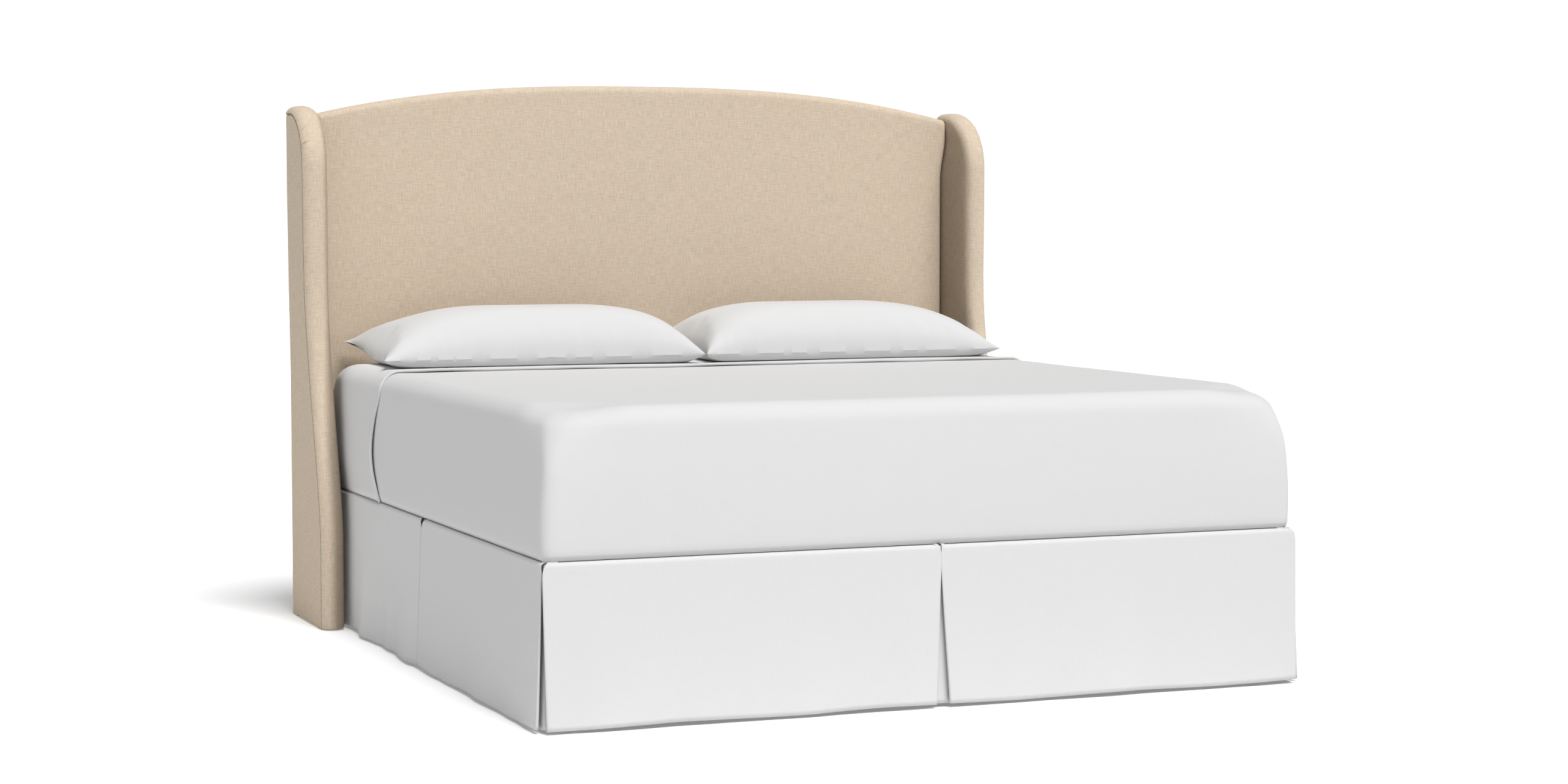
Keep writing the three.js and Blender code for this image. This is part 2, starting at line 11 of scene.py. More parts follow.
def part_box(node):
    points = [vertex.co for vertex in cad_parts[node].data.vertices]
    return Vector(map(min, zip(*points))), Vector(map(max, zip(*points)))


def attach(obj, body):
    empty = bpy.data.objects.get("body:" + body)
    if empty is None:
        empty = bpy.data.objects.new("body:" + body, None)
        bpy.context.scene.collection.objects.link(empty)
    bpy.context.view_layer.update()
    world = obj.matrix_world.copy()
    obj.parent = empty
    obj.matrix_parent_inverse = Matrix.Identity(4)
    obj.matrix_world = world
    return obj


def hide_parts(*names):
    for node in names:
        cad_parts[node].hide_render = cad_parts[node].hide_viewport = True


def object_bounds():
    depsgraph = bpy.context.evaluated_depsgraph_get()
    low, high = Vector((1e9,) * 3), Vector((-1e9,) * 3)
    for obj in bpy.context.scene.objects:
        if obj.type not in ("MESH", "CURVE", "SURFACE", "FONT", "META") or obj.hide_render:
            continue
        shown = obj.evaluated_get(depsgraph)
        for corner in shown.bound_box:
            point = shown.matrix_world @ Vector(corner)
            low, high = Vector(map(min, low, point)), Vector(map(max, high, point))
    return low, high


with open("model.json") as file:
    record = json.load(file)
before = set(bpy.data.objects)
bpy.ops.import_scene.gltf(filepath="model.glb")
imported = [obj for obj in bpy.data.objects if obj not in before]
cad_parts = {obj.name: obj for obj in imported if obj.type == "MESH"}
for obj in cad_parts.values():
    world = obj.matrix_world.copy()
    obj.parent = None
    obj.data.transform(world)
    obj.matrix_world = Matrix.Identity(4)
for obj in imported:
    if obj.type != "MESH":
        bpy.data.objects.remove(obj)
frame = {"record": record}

bl_info = {
    "name": "Upholstered wingback bed",
    "version": (1, 0, 0),
    "blender": (4, 5, 0),
    "location": "View3D > Sidebar > Bed",
    "description": "Upholstery, bedding, pillows, bed skirt, finishes and a studio for the bed",
    "category": "Add Mesh",
}

# ------------------------------------------------------------------ places from the frame

CAD_LOW, CAD_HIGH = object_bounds()
SIDES = (("left", -1), ("right", 1))
MILLIMETRE = 0.001
CLOTH_UV = "Cloth"
# Point attribute that marks painted shade on the wings' inner sides
PAINTED_SHADE_ATTRIBUTE = "painted_shade"


def low(node):
    return Vector(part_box(node)[0])


def high(node):
    return Vector(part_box(node)[1])


BED_SIDE = high("turned_sheet").x
BED_TOP = high("turned_sheet").z
BED_BOTTOM = low("mattress").z
FOOT_FULLNESS, HEAD_FULLNESS = 4.3 * MILLIMETRE, 10.4 * MILLIMETRE
BED_FOOT = low("coverlet").y - FOOT_FULLNESS
BED_HEAD = high("mattress").y + HEAD_FULLNESS
BED_CENTRE = (0, (BED_FOOT + BED_HEAD) / 2, (BED_BOTTOM + BED_TOP) / 2)
HEM_LINE = low("turned_sheet").y
COVERLET_END = high("coverlet").y
DECK_TOP = high("skirt_deck").z
FLOOR = CAD_LOW.z


# ------------------------------------------------------------------ settings


class BED_PG_headboard(bpy.types.PropertyGroup):
    """Sizes and colours of the padded headboard and its wings"""

    linen: FloatVectorProperty(
        name="Linen", description="Colour of the linen", subtype="COLOR", size=3,
        default=(0.72, 0.605, 0.475))
    linen_shade: FloatVectorProperty(
        name="Linen shade", description="Colour of the darker yarns", subtype="COLOR", size=3,
        default=(0.56, 0.455, 0.345))
    side_roll: FloatProperty(
        name="Side roll", description="How far the padding rolls back beside the wings",
        default=0.024, unit="LENGTH")
    side_roll_width: FloatProperty(
        name="Side roll width", description="Width of the rolled edge beside the wings",
        default=0.014, unit="LENGTH")
    top_roll: FloatProperty(
        name="Top roll", description="Radius of the padding over the top edge",
        default=0.020, unit="LENGTH")
    crown: FloatProperty(
        name="Crown", description="How far the middle of the padding stands forward",
        default=0.006, unit="LENGTH")
    band_crown: FloatProperty(
        name="Band crown", description="How far the wing's band stands forward of its seam",
        default=0.0325, unit="LENGTH")
    top_crown: FloatProperty(
        name="Top crown", description="How far the band stands above its seam on top of the wing",
        default=0.0245, unit="LENGTH")
    inner_lean: FloatProperty(
        name="Inner lean", description="How far a wing's inner face leans in beside the padding",
        default=0.0160, unit="LENGTH")
    welt: FloatProperty(
        name="Welt", description="Radius of the welt in the wing's seam",
        default=0.0013, unit="LENGTH")
    pleat_depth: FloatProperty(
        name="Pleat depth", description="Depth of the pleats at the wing's top curve",
        default=0.0042, unit="LENGTH")


class BED_PG_bedding(bpy.types.PropertyGroup):
    """Sizes and colours of the mattress and the bedding"""

    sheet: FloatVectorProperty(
        name="Sheet", description="Colour of the sheets", subtype="COLOR", size=3,
        default=(0.67, 0.67, 0.67))
    radius: FloatProperty(
        name="Edge radius", description="Radius of the dressed mattress's top edges",
        default=0.052, unit="LENGTH")
    plan_radius: FloatProperty(
        name="Corner radius", description="Radius of the dressed mattress's upright corners",
        default=0.020, unit="LENGTH")
    slump: FloatProperty(
        name="Corner slump", description="How far the foot corners give way at the top",
        default=0.038, unit="LENGTH")
    settle: FloatProperty(
        name="Settle", description="How far the lower sides spread under the mattress's weight",
        default=0.0090, unit="LENGTH")
    bulge: FloatProperty(
        name="Side bulge", description="How far the mattress sides belly out",
        default=0.006, unit="LENGTH")
    hem_lift: FloatProperty(
        name="Hem lift", description="How far the turned sheet's hem stands off the side",
        default=0.007, unit="LENGTH")
    hem_bow: FloatProperty(
        name="Hem bow", description="How far the hem bows towards the head down the side",
        default=0.060, unit="LENGTH")
    spacing: FloatProperty(
        name="Spacing", description="Distance between the cloth's mesh lines",
        default=0.014, unit="LENGTH")


class BED_PG_pillows(bpy.types.PropertyGroup):
    """Sizes and filling of the pillows"""

    pressure: FloatProperty(
        name="Pressure", description="Filling pressure in the simulation", default=4.0)
    frames: IntProperty(
        name="Frames", description="Length of the simulation in frames", default=18)
    cap: FloatProperty(
        name="Cap", description="How far the simulation may move the cloth",
        default=0.014, unit="LENGTH")
    waist: FloatProperty(
        name="Waist", description="How far the long seams pull in between the corners",
        default=0.014, unit="LENGTH")
    tip_rise: FloatProperty(
        name="Tip rise", description="How far the outer back corner stands up",
        default=0.034, unit="LENGTH")
    pucker: FloatProperty(
        name="Pucker", description="Depth of the gathers along the seams",
        default=0.0030, unit="LENGTH")
    spacing: FloatProperty(
        name="Spacing", description="Distance between the mesh lines",
        default=0.0125, unit="LENGTH")


class BED_PG_skirt(bpy.types.PropertyGroup):
    """Sizes and colours of the bed skirt"""

    cotton: FloatVectorProperty(
        name="Cotton", description="Colour of the skirt", subtype="COLOR", size=3,
        default=(0.67, 0.67, 0.67))
    thickness: FloatProperty(
        name="Thickness", description="Thickness of the lined cotton",
        default=0.0016, unit="LENGTH")
    shoulder: FloatProperty(
        name="Shoulder", description="Radius of the cloth over the foundation's edge",
        default=0.0105, unit="LENGTH")
    stand_off: FloatProperty(
        name="Stand-off", description="Distance of the cloth from the mattress side",
        default=0.010, unit="LENGTH")
    pleat_return: FloatProperty(
        name="Pleat return", description="Cloth folded back behind each pleat edge",
        default=0.060, unit="LENGTH")
    pleat_start: FloatProperty(
        name="Pleat start", description="Height below which the pleats open",
        default=0.345, unit="LENGTH")
    fold_radius: FloatProperty(
        name="Fold radius", description="Radius of a pleat's edge at the hem",
        default=0.0040, unit="LENGTH")
    insert_depth: FloatProperty(
        name="Insert depth", description="How far the cloth in a pleat lies behind the panels",
        default=0.0046, unit="LENGTH")


class BED_PG_stage(bpy.types.PropertyGroup):
    """Camera and studio"""

    camera_place: FloatVectorProperty(
        name="Camera", description="Place of the camera", subtype="TRANSLATION", size=3,
        default=(-2.9670, -7.3978, 1.1942))
    camera_yaw: FloatProperty(
        name="Yaw", description="Turn of the camera to the right of +Y", subtype="ANGLE",
        default=math.radians(22.1175))
    camera_pitch: FloatProperty(
        name="Pitch", description="Tilt of the camera below the horizon", subtype="ANGLE",
        default=math.radians(3.6698))
    camera_lens: FloatProperty(
        name="Lens", description="Focal length for a 36 mm sensor, in millimetres",
        default=68.46)
    key: FloatProperty(name="Key light", description="Strength of the key light", default=3.4)
    fill: FloatProperty(name="Fill light", description="Strength of the studio", default=0.17)
    floor_glow: FloatProperty(
        name="Floor glow", description="Light the white floor gives off on the bed", default=0.06)
    floor_seen: FloatProperty(
        name="Floor white", description="Light the white floor gives off to the camera",
        default=0.20)
    side_fill: FloatProperty(
        name="Side fill", description="Strength of the soft light on the bed's left",
        default=0.30)


# ------------------------------------------------------------------ small maths


def mix(a, b, t):
    return a + (b - a) * t


def smooth(t):
    t = min(1.0, max(0.0, t))
    return t * t * (3 - 2 * t)


def spread(start, end, spacing):
    """Evenly spaced values from start to end, no further apart than spacing."""
    steps = max(1, math.ceil(abs(end - start) / spacing))
    return [mix(start, end, i / steps) for i in range(steps + 1)]


def spread_fine(start, end, spacing, margin, fine):
    """Values from start to end that lie closer together within margin of each end."""
    inner = spread(start + margin, end - margin, spacing)
    return spread(start, start + margin, fine)[:-1] + inner + spread(end - margin, end, fine)[1:]


def graded(start, end, steps, margin, edge_steps):
    """A fixed number of values that lie closer together within margin of each end."""
    near = [start + margin * i / edge_steps for i in range(edge_steps)]
    middle = [mix(start + margin, end - margin, i / steps) for i in range(steps + 1)]
    far = [end - margin + margin * i / edge_steps for i in range(1, edge_steps + 1)]
    return near + middle + far


def quarter_turns(steps, first=1):
    """Angles of a quarter turn in even steps, from the step called first."""
    return [math.pi / 2 * k / steps for k in range(first, steps + 1)]


def ripple(place, size, seed=0.0):
    """Smooth noise from -1 to 1 with features of about the given size."""
    return noise.noise(Vector(place) / size + Vector((seed, 1.7 * seed, -seed)))


# ------------------------------------------------------------------ mesh building

MERGE = 2e-5


def deselect():
    if bpy.context.object and bpy.context.object.mode != "OBJECT":
        bpy.ops.object.mode_set(mode="OBJECT")
    bpy.ops.object.select_all(action="DESELECT")


def activate(obj):
    deselect()
    obj.select_set(True)
    bpy.context.view_layer.objects.active = obj


def apply_modifiers(obj):
    activate(obj)
    for modifier in list(obj.modifiers):
        bpy.ops.object.modifier_apply(modifier=modifier.name)


def add_object(name, mesh, material):
    obj = bpy.data.objects.new(name, mesh)
    bpy.context.scene.collection.objects.link(obj)
    mesh.materials.append(material)
    return obj


def smooth_faces(mesh):
    mesh.polygons.foreach_set("use_smooth", [True] * len(mesh.polygons))
    mesh.update()


class Surface:
    """Points, faces and cloth coordinates collected patch by patch."""

    def __init__(self):
        self.points, self.faces, self.cloth = [], [], []

    def patch(self, rows, cloth):
        """Adds a grid of points with its grid of cloth coordinates."""
        first, width = len(self.points), len(rows[0])
        for row, cloth_row in zip(rows, cloth):
            self.points.extend(row)
            self.cloth.extend(cloth_row)
        for i in range(len(rows) - 1):
            for j in range(width - 1):
                a = first + i * width + j
                self.faces.append((a, a + 1, a + width + 1, a + width))

    def close_ends(self, width):
        """Fills the first and the last row, whose last point repeats their first."""
        for first in (0, len(self.points) - width):
            self.faces.append(tuple(range(first, first + width - 1)))

    def build(self, name, material, thickness=0.0, outward_from=None):
        """Makes the object, turned away from a point, with an optional inner side."""
        mesh = bpy.data.meshes.new(name)
        mesh.from_pydata([tuple(p) for p in self.points], [], self.faces)
        layer = mesh.uv_layers.new(name=CLOTH_UV)
        index = np.empty(len(mesh.loops), dtype=np.int64)
        mesh.loops.foreach_get("vertex_index", index)
        layer.data.foreach_set("uv", np.array(self.cloth, dtype=np.float32)[index].ravel())
        shape = bmesh.new()
        shape.from_mesh(mesh)
        bmesh.ops.remove_doubles(shape, verts=shape.verts, dist=MERGE)
        bmesh.ops.dissolve_degenerate(shape, edges=shape.edges, dist=MERGE / 4)
        bmesh.ops.recalc_face_normals(shape, faces=shape.faces)
        if outward_from is not None:
            facing = sum(
                f.calc_area() * f.normal.dot(f.calc_center_median() - Vector(outward_from))
                for f in shape.faces)
            if facing < 0:
                bmesh.ops.reverse_faces(shape, faces=shape.faces)
        shape.to_mesh(mesh)
        shape.free()
        obj = add_object(name, mesh, material)
        if thickness:
            wall = obj.modifiers.new("Wall", "SOLIDIFY")
            wall.thickness = thickness
            wall.offset = -1.0
            wall.use_even_offset = False
            wall.use_quality_normals = True
            apply_modifiers(obj)
        smooth_faces(mesh)
        return obj


def grid(rows, cloth):
    """A surface of one patch."""
    surface = Surface()
    surface.patch(rows, cloth)
    return surface


def tube(name, path, radius, material, sides):
    """A round cord along a list of points, with closed ends."""
    shape = bmesh.new()
    layer = shape.loops.layers.uv.new(CLOTH_UV)
    rings, travelled, count = [], 0.0, len(path)
    for i, point in enumerate(path):
        before, after = path[max(i - 1, 0)], path[min(i + 1, count - 1)]
        along = (Vector(after) - Vector(before)).normalized()
        across = along.orthogonal() if i == 0 else (across - along * across.dot(along))
        across.normalize()
        other = along.cross(across)
        if i:
            travelled += (Vector(point) - Vector(path[i - 1])).length
        ring = [
            shape.verts.new(
                Vector(point)
                + (across * math.cos(math.tau * k / sides) + other * math.sin(math.tau * k / sides))
                * radius)
            for k in range(sides)]
        rings.append((ring, travelled))
    for (ring, here), (following, there) in zip(rings, rings[1:]):
        for k in range(sides):
            face = shape.faces.new(
                (ring[k], ring[(k + 1) % sides], following[(k + 1) % sides], following[k]))
            corners = ((k, here), (k + 1, here), (k + 1, there), (k, there))
            for loop, (step, distance) in zip(face.loops, corners):
                loop[layer].uv = (step * radius * math.tau / sides, distance)
    shape.faces.new(reversed(rings[0][0]))
    shape.faces.new(rings[-1][0])
    bmesh.ops.recalc_face_normals(shape, faces=shape.faces)
    mesh = bpy.data.meshes.new(name)
    shape.to_mesh(mesh)
    shape.free()
    smooth_faces(mesh)
    return add_object(name, mesh, material)


# ------------------------------------------------------------------ materials

# Dark brown that the linen is mixed towards as painted shade on the wings' inner sides
PAINTED_SHADE_LINEN = (0.10, 0.066, 0.038)


def link(tree, source, target):
    tree.links.new(source, target)


def math_node(tree, operation, first, second=None):
    node = tree.nodes.new("ShaderNodeMath")
    node.operation = operation
    for socket, value in zip(node.inputs, (first, second)):
        if value is None:
            continue
        if isinstance(value, (int, float)):
            socket.default_value = value
        else:
            link(tree, value, socket)
    return node.outputs[0]


def noise_node(tree, vector, scale, detail, stretch=(1, 1, 1), roughness=0.6):
    mapping = tree.nodes.new("ShaderNodeMapping")
    mapping.inputs["Scale"].default_value = stretch
    link(tree, vector, mapping.inputs["Vector"])
    texture = tree.nodes.new("ShaderNodeTexNoise")
    texture.inputs["Scale"].default_value = scale
    texture.inputs["Detail"].default_value = detail
    texture.inputs["Roughness"].default_value = roughness
    link(tree, mapping.outputs["Vector"], texture.inputs["Vector"])
    return texture.outputs["Fac"]


def map_range(tree, value, from_low, from_high, to_low, to_high):
    node = tree.nodes.new("ShaderNodeMapRange")
    link(tree, value, node.inputs["Value"])
    for name, number in (("From Min", from_low), ("From Max", from_high),
                         ("To Min", to_low), ("To Max", to_high)):
        if isinstance(number, (int, float)):
            node.inputs[name].default_value = number
        else:
            link(tree, number, node.inputs[name])
    return node.outputs["Result"]


def mix_colour(tree, factor, first, second):
    node = tree.nodes.new("ShaderNodeMix")
    node.data_type = "RGBA"
    link(tree, factor, node.inputs["Factor"])
    for socket, value in ((node.inputs["A"], first), (node.inputs["B"], second)):
        if isinstance(value, tuple):
            socket.default_value = value
        else:
            link(tree, value, socket)
    return node.outputs["Result"]


def group_tree(name, inputs, outputs):
    tree = bpy.data.node_groups.new(name, "ShaderNodeTree")
    for label, kind, default in inputs:
        socket = tree.interface.new_socket(label, in_out="INPUT", socket_type=kind)
        if default is not None:
            socket.default_value = default
    for label, kind in outputs:
        tree.interface.new_socket(label, in_out="OUTPUT", socket_type=kind)
    return tree, tree.nodes.new("NodeGroupInput").outputs, tree.nodes.new("NodeGroupOutput").inputs


def weave_group():
    """Woven cloth: crossing yarns with slubs, from cloth coordinates in metres."""
    name = "Woven cloth"
    if name in bpy.data.node_groups:
        return bpy.data.node_groups[name]
    tree, given, made = group_tree(
        name,
        (("Cloth", "NodeSocketVector", None), ("Yarn", "NodeSocketColor", (0.8, 0.8, 0.8, 1)),
         ("Shade", "NodeSocketColor", (0.6, 0.6, 0.6, 1)), ("Pitch", "NodeSocketFloat", 0.002),
         ("Slub", "NodeSocketFloat", 1.0), ("Roughness", "NodeSocketFloat", 0.9)),
        (("Colour", "NodeSocketColor"), ("Height", "NodeSocketFloat"),
         ("Roughness", "NodeSocketFloat")))
    cloth = given["Cloth"]
    along_yarn, across_yarn, grain_scale, cloud_scale = 32, 330, 420.0, 7.0
    mean_of_three_noises, mean_of_noise = 1.5, 0.5
    yarn_tone, cloud_tone, widest_tone = 0.10, 0.16, 0.55
    yarn_height, tone_gloss = 0.35, 0.06
    weft = noise_node(tree, cloth, 1.0, 3, (along_yarn, across_yarn, 1))
    warp = noise_node(tree, cloth, 1.0, 3, (across_yarn, along_yarn, 1))
    grain = noise_node(tree, cloth, grain_scale, 2)
    cloud = noise_node(tree, cloth, cloud_scale, 3)
    turn = math_node(tree, "DIVIDE", math.tau, given["Pitch"])
    axes = tree.nodes.new("ShaderNodeSeparateXYZ")
    link(tree, cloth, axes.inputs[0])
    across = math_node(tree, "SINE", math_node(tree, "MULTIPLY", axes.outputs["X"], turn))
    along = math_node(tree, "SINE", math_node(tree, "MULTIPLY", axes.outputs["Y"], turn))
    crossing = math_node(tree, "MULTIPLY", across, along)
    slubs = math_node(tree, "ADD", math_node(tree, "ADD", weft, warp), grain)
    slubs = math_node(tree, "SUBTRACT", slubs, mean_of_three_noises)
    slubs = math_node(tree, "MULTIPLY", slubs, given["Slub"])
    yarns = math_node(tree, "MULTIPLY", crossing, yarn_tone)
    clouds = math_node(tree, "SUBTRACT", cloud, mean_of_noise)
    clouds = math_node(tree, "MULTIPLY", clouds, cloud_tone)
    tone = math_node(tree, "ADD", math_node(tree, "ADD", slubs, yarns), clouds)
    share = map_range(tree, tone, -widest_tone, widest_tone, 0.0, 1.0)
    link(tree, mix_colour(tree, share, given["Shade"], given["Yarn"]), made["Colour"])
    relief = math_node(tree, "MULTIPLY", crossing, yarn_height)
    link(tree, math_node(tree, "ADD", relief, slubs), made["Height"])
    gloss = math_node(tree, "MULTIPLY", tone, tone_gloss)
    link(tree, math_node(tree, "SUBTRACT", given["Roughness"], gloss), made["Roughness"])
    return tree


def new_material(name):
    material = bpy.data.materials.new(name)
    material.use_nodes = True
    tree = material.node_tree
    shader = tree.nodes["Principled BSDF"]
    return material, tree, shader


def set_bump(tree, shader, height, strength, distance):
    bump = tree.nodes.new("ShaderNodeBump")
    bump.inputs["Strength"].default_value = strength
    bump.inputs["Distance"].default_value = distance
    link(tree, height, bump.inputs["Height"])
    link(tree, bump.outputs["Normal"], shader.inputs["Normal"])


def woven_material(name, yarn, shade, pitch, slub, roughness, relief, sheen, crumple=0.0,
                   painted_shade_colour=None):
    """Cloth whose weave follows the piece's cloth coordinates."""
    material, tree, shader = new_material(name)
    uv = tree.nodes.new("ShaderNodeUVMap")
    uv.uv_map = CLOTH_UV
    group = tree.nodes.new("ShaderNodeGroup")
    group.node_tree = weave_group()
    link(tree, uv.outputs["UV"], group.inputs["Cloth"])
    group.inputs["Yarn"].default_value = (*yarn, 1)
    group.inputs["Shade"].default_value = (*shade, 1)
    group.inputs["Pitch"].default_value = pitch
    group.inputs["Slub"].default_value = slub
    group.inputs["Roughness"].default_value = roughness
    colour = group.outputs["Colour"]
    # Where the piece's mark attribute asks for it, painted shade darkens the cloth's colour
    if painted_shade_colour is not None:
        painted_shade = tree.nodes.new("ShaderNodeAttribute")
        painted_shade.attribute_name = PAINTED_SHADE_ATTRIBUTE
        colour = mix_colour(tree, painted_shade.outputs["Fac"], colour, (*painted_shade_colour, 1))
    link(tree, colour, shader.inputs["Base Color"])
    link(tree, group.outputs["Roughness"], shader.inputs["Roughness"])
    shader.inputs["Specular IOR Level"].default_value = 0.2
    shader.inputs["Sheen Weight"].default_value = sheen
    shader.inputs["Sheen Roughness"].default_value = 0.5
    height = group.outputs["Height"]
    if crumple:
        soft = noise_node(tree, uv.outputs["UV"], 9.0, 2, roughness=0.45)
        height = math_node(tree, "ADD", height, math_node(tree, "MULTIPLY", soft, crumple))
    set_bump(tree, shader, height, 0.6, relief)
    return material


def linen(context):
    """The headboard's linen, mixed towards a dark brown as painted shade where a piece carries the
    shade mark.
    """
    name, settings = "headboard linen", context.scene.bed_headboard
    return bpy.data.materials.get(name) or woven_material(
        name, settings.linen, settings.linen_shade, pitch=0.0022, slub=1.9, roughness=0.92,
        relief=0.00055, sheen=0.02, painted_shade_colour=PAINTED_SHADE_LINEN)


def seam_shadow_linen(context):
    """The same linen, made dark to paint the shadow in a seam."""
    name, settings = "painted seam shadow linen", context.scene.bed_headboard
    yarn, shade = (tuple(0.30 * c ** 1.2 for c in colour)
                   for colour in (settings.linen, settings.linen_shade))
    return bpy.data.materials.get(name) or woven_material(
        name, yarn, shade, pitch=0.0022, slub=1.0, roughness=0.92, relief=0.0002, sheen=0.0)


def percale(context):
    """The smooth cotton of the sheets and the pillowcases."""
    name, colour = "percale sheet", tuple(context.scene.bed_bedding.sheet)
    return bpy.data.materials.get(name) or woven_material(
        name, colour, tuple(0.93 * c for c in colour), pitch=0.0009, slub=0.45, roughness=0.86,
        relief=0.00012, sheen=0.04, crumple=6.0)


def cotton(context):
    """The lined cotton of the bed skirt."""
    name, colour = "skirt cotton", tuple(context.scene.bed_skirt.cotton)
    return bpy.data.materials.get(name) or woven_material(
        name, colour, tuple(0.92 * c for c in colour), pitch=0.0012, slub=0.6, roughness=0.9,
        relief=0.00018, sheen=0.1, crumple=4.0)


def plain_object_material(name, colour, shade, roughness, scale, stretch, relief, metallic=0.0,
                          coat=0.0):
    """A finish that varies with noise on object coordinates, such as timber or steel."""
    low_grain, high_grain, gloss = 0.3, 0.7, 0.08
    material, tree, shader = new_material(name)
    place = tree.nodes.new("ShaderNodeTexCoord").outputs["Object"]
    grain = noise_node(tree, place, scale, 5, stretch)
    share = map_range(tree, grain, low_grain, high_grain, 0, 1)
    link(tree, mix_colour(tree, share, (*shade, 1), (*colour, 1)), shader.inputs["Base Color"])
    rough = map_range(tree, grain, low_grain, high_grain, roughness + gloss, roughness - gloss)
    link(tree, rough, shader.inputs["Roughness"])
    shader.inputs["Metallic"].default_value = metallic
    shader.inputs["Coat Weight"].default_value = coat
    set_bump(tree, shader, grain, 0.4, relief)
    return material


# ------------------------------------------------------------------ headboard


def arch_top(x):
    """Height of the arch over the floor at x, from the headboard's own outline."""
    rise, power, side = 0.086, 2.6, 0.965
    return high("headboard_pad").z - rise * (abs(x) / side) ** power


class BED_OT_headboard(bpy.types.Operator):
    """Make the linen padding of the headboard"""

    bl_idname = "bed.headboard"
    bl_label = "Headboard upholstery"

    def execute(self, context):
        settings = context.scene.bed_headboard
        box_low, box_high = low("headboard_pad"), high("headboard_pad")
        side = box_high.x
        front, panel_front = box_low.y, low("headboard_panel").y - MILLIMETRE
        rail_back, bottom = high("headboard_top_rail").y, box_low.z
        roll, lip, levels, padding = settings.top_roll, 0.004, 80, 0.006
        crown_depth, ripple_height, ripple_size = 0.5, 0.0006, 0.12
        staple_line, panel_line = 0.0144, 0.018
        columns = spread_fine(-side, side, 0.018, settings.side_roll_width + 0.006, 0.002)
        rows, cloth = [], []
        for x in columns:
            top = arch_top(x)
            inside = side - abs(x)
            edge = max(0.0, 1 - inside / settings.side_roll_width)
            back_roll = settings.side_roll * (1 - math.sqrt(max(0.0, 1 - edge ** 2)))
            loop = []
            for k in range(levels + 1):
                z = mix(bottom, top - roll, k / levels)
                crown = settings.crown * (1 - (x / side) ** 4) * smooth((top - z) / crown_depth)
                y = front + padding - crown + back_roll
                y += ripple_height * ripple((x, 0, z), ripple_size) * smooth(inside / 0.03)
                loop.append((y, z))
            start = loop[-1][0]
            depth = min(roll, rail_back - start - 0.01)
            loop += [(start + depth * (1 - math.cos(turn)), top - roll + roll * math.sin(turn))
                     for turn in quarter_turns(8)]
            shoulder = loop[-1][0]
            loop += [(mix(shoulder, rail_back - lip, k / 6), top) for k in range(1, 7)]
            loop += [(rail_back - lip + lip * math.sin(turn), top - lip + lip * math.cos(turn))
                     for turn in quarter_turns(4)]
            inner = max(panel_front, start + 0.002)
            loop += [(rail_back, top - staple_line), (inner + 0.001, top - staple_line),
                     (inner, top - panel_line), (inner, bottom), loop[0]]
            travelled, cloth_row = 0.0, []
            for i, (y, z) in enumerate(loop):
                if i:
                    travelled += math.dist(loop[i - 1], (y, z))
                cloth_row.append((x, bottom + travelled))
            rows.append([Vector((x * (1 - wing_lean(settings, z) / side), y, z)) for y, z in loop])
            cloth.append(cloth_row)
        surface = grid(rows, cloth)
        surface.close_ends(len(rows[0]))
        centre = (0, (front + panel_front) / 2, (bottom + box_high.z) / 2)
        piece = surface.build("headboard_upholstery", linen(context), outward_from=centre)
        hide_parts("headboard_pad")
        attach(piece, "root")
        return {"FINISHED"}


# ------------------------------------------------------------------ wings

WING_SET_BACK = 0.155
SEAM_GROOVE = 0.0042


def wing_seam():
    """The seam of a wing in (y, z), from the floor up and over to the back, with normals."""
    board_low, board_high = low("wing_board_right"), high("wing_board_right")
    front, back, top, bottom = board_low.y, board_high.y, board_high.z, board_low.z
    upper, radius = front + WING_SET_BACK, 0.150
    step_start, step_end, lower_pull, upper_pull = 0.240, 1.000, 0.170, 0.300
    straight, over_top, sweep_steps, curve_steps = 0.008, 0.006, 90, 200
    points = [Vector((front, z)) for z in spread(bottom, step_start, straight)]
    controls = [Vector((front, step_start)), Vector((front, step_start + lower_pull)),
                Vector((upper, step_end - upper_pull)), Vector((upper, step_end))]
    for k in range(1, sweep_steps + 1):
        t = k / sweep_steps
        weights = ((1 - t) ** 3, 3 * t * (1 - t) ** 2, 3 * t * t * (1 - t), t ** 3)
        points.append(sum((w * c for w, c in zip(weights, controls)), Vector((0, 0))))
    points += [Vector((upper, z)) for z in spread(step_end, top - radius, straight)[1:]]
    centre = Vector((upper + radius, top - radius))
    points += [centre + radius * Vector((-math.cos(turn), math.sin(turn)))
               for turn in quarter_turns(curve_steps)]
    points += [Vector((y, top)) for y in spread(points[-1].x, back, over_top)[1:]]
    normals = []
    for i, point in enumerate(points):
        along = points[min(i + 1, len(points) - 1)] - points[max(i - 1, 0)]
        normals.append(Vector((-along.y, along.x)).normalized())
    return points, normals


def wing_outer(z):
    """Where the outside of a wing lies at a height: the wing narrows a little downwards."""
    narrowing, widest_at, fade = 0.0062, 1.30, 0.80
    return high("wing_outer_pad_right").x - narrowing * smooth((widest_at - z) / fade)


def wing_lean(settings, z):
    """How far a wing's inner face leans in beside the headboard's padding at a height."""
    lowest, rising, highest, falling = 0.38, 0.10, 1.26, 0.13
    return (settings.inner_lean * smooth((z - lowest) / rising)
            * (1 - smooth((z - highest) / falling)))


def band_section(width):
    """Across a band from its outer seam to its inner face: distance in and share of the crown."""
    outer, inner, groove_share = 0.47 * width, 0.53 * width, 0.14
    section = []
    for turn in quarter_turns(36, first=0):
        rise = math.sin(turn)
        groove = SEAM_GROOVE * (1 - smooth(rise / groove_share))
        section.append((outer * (1 - math.cos(turn)) + groove, rise))
    return section + [(outer + inner * math.sin(turn) ** 0.95, math.cos(turn) ** 0.92)
                      for turn in quarter_turns(30)]


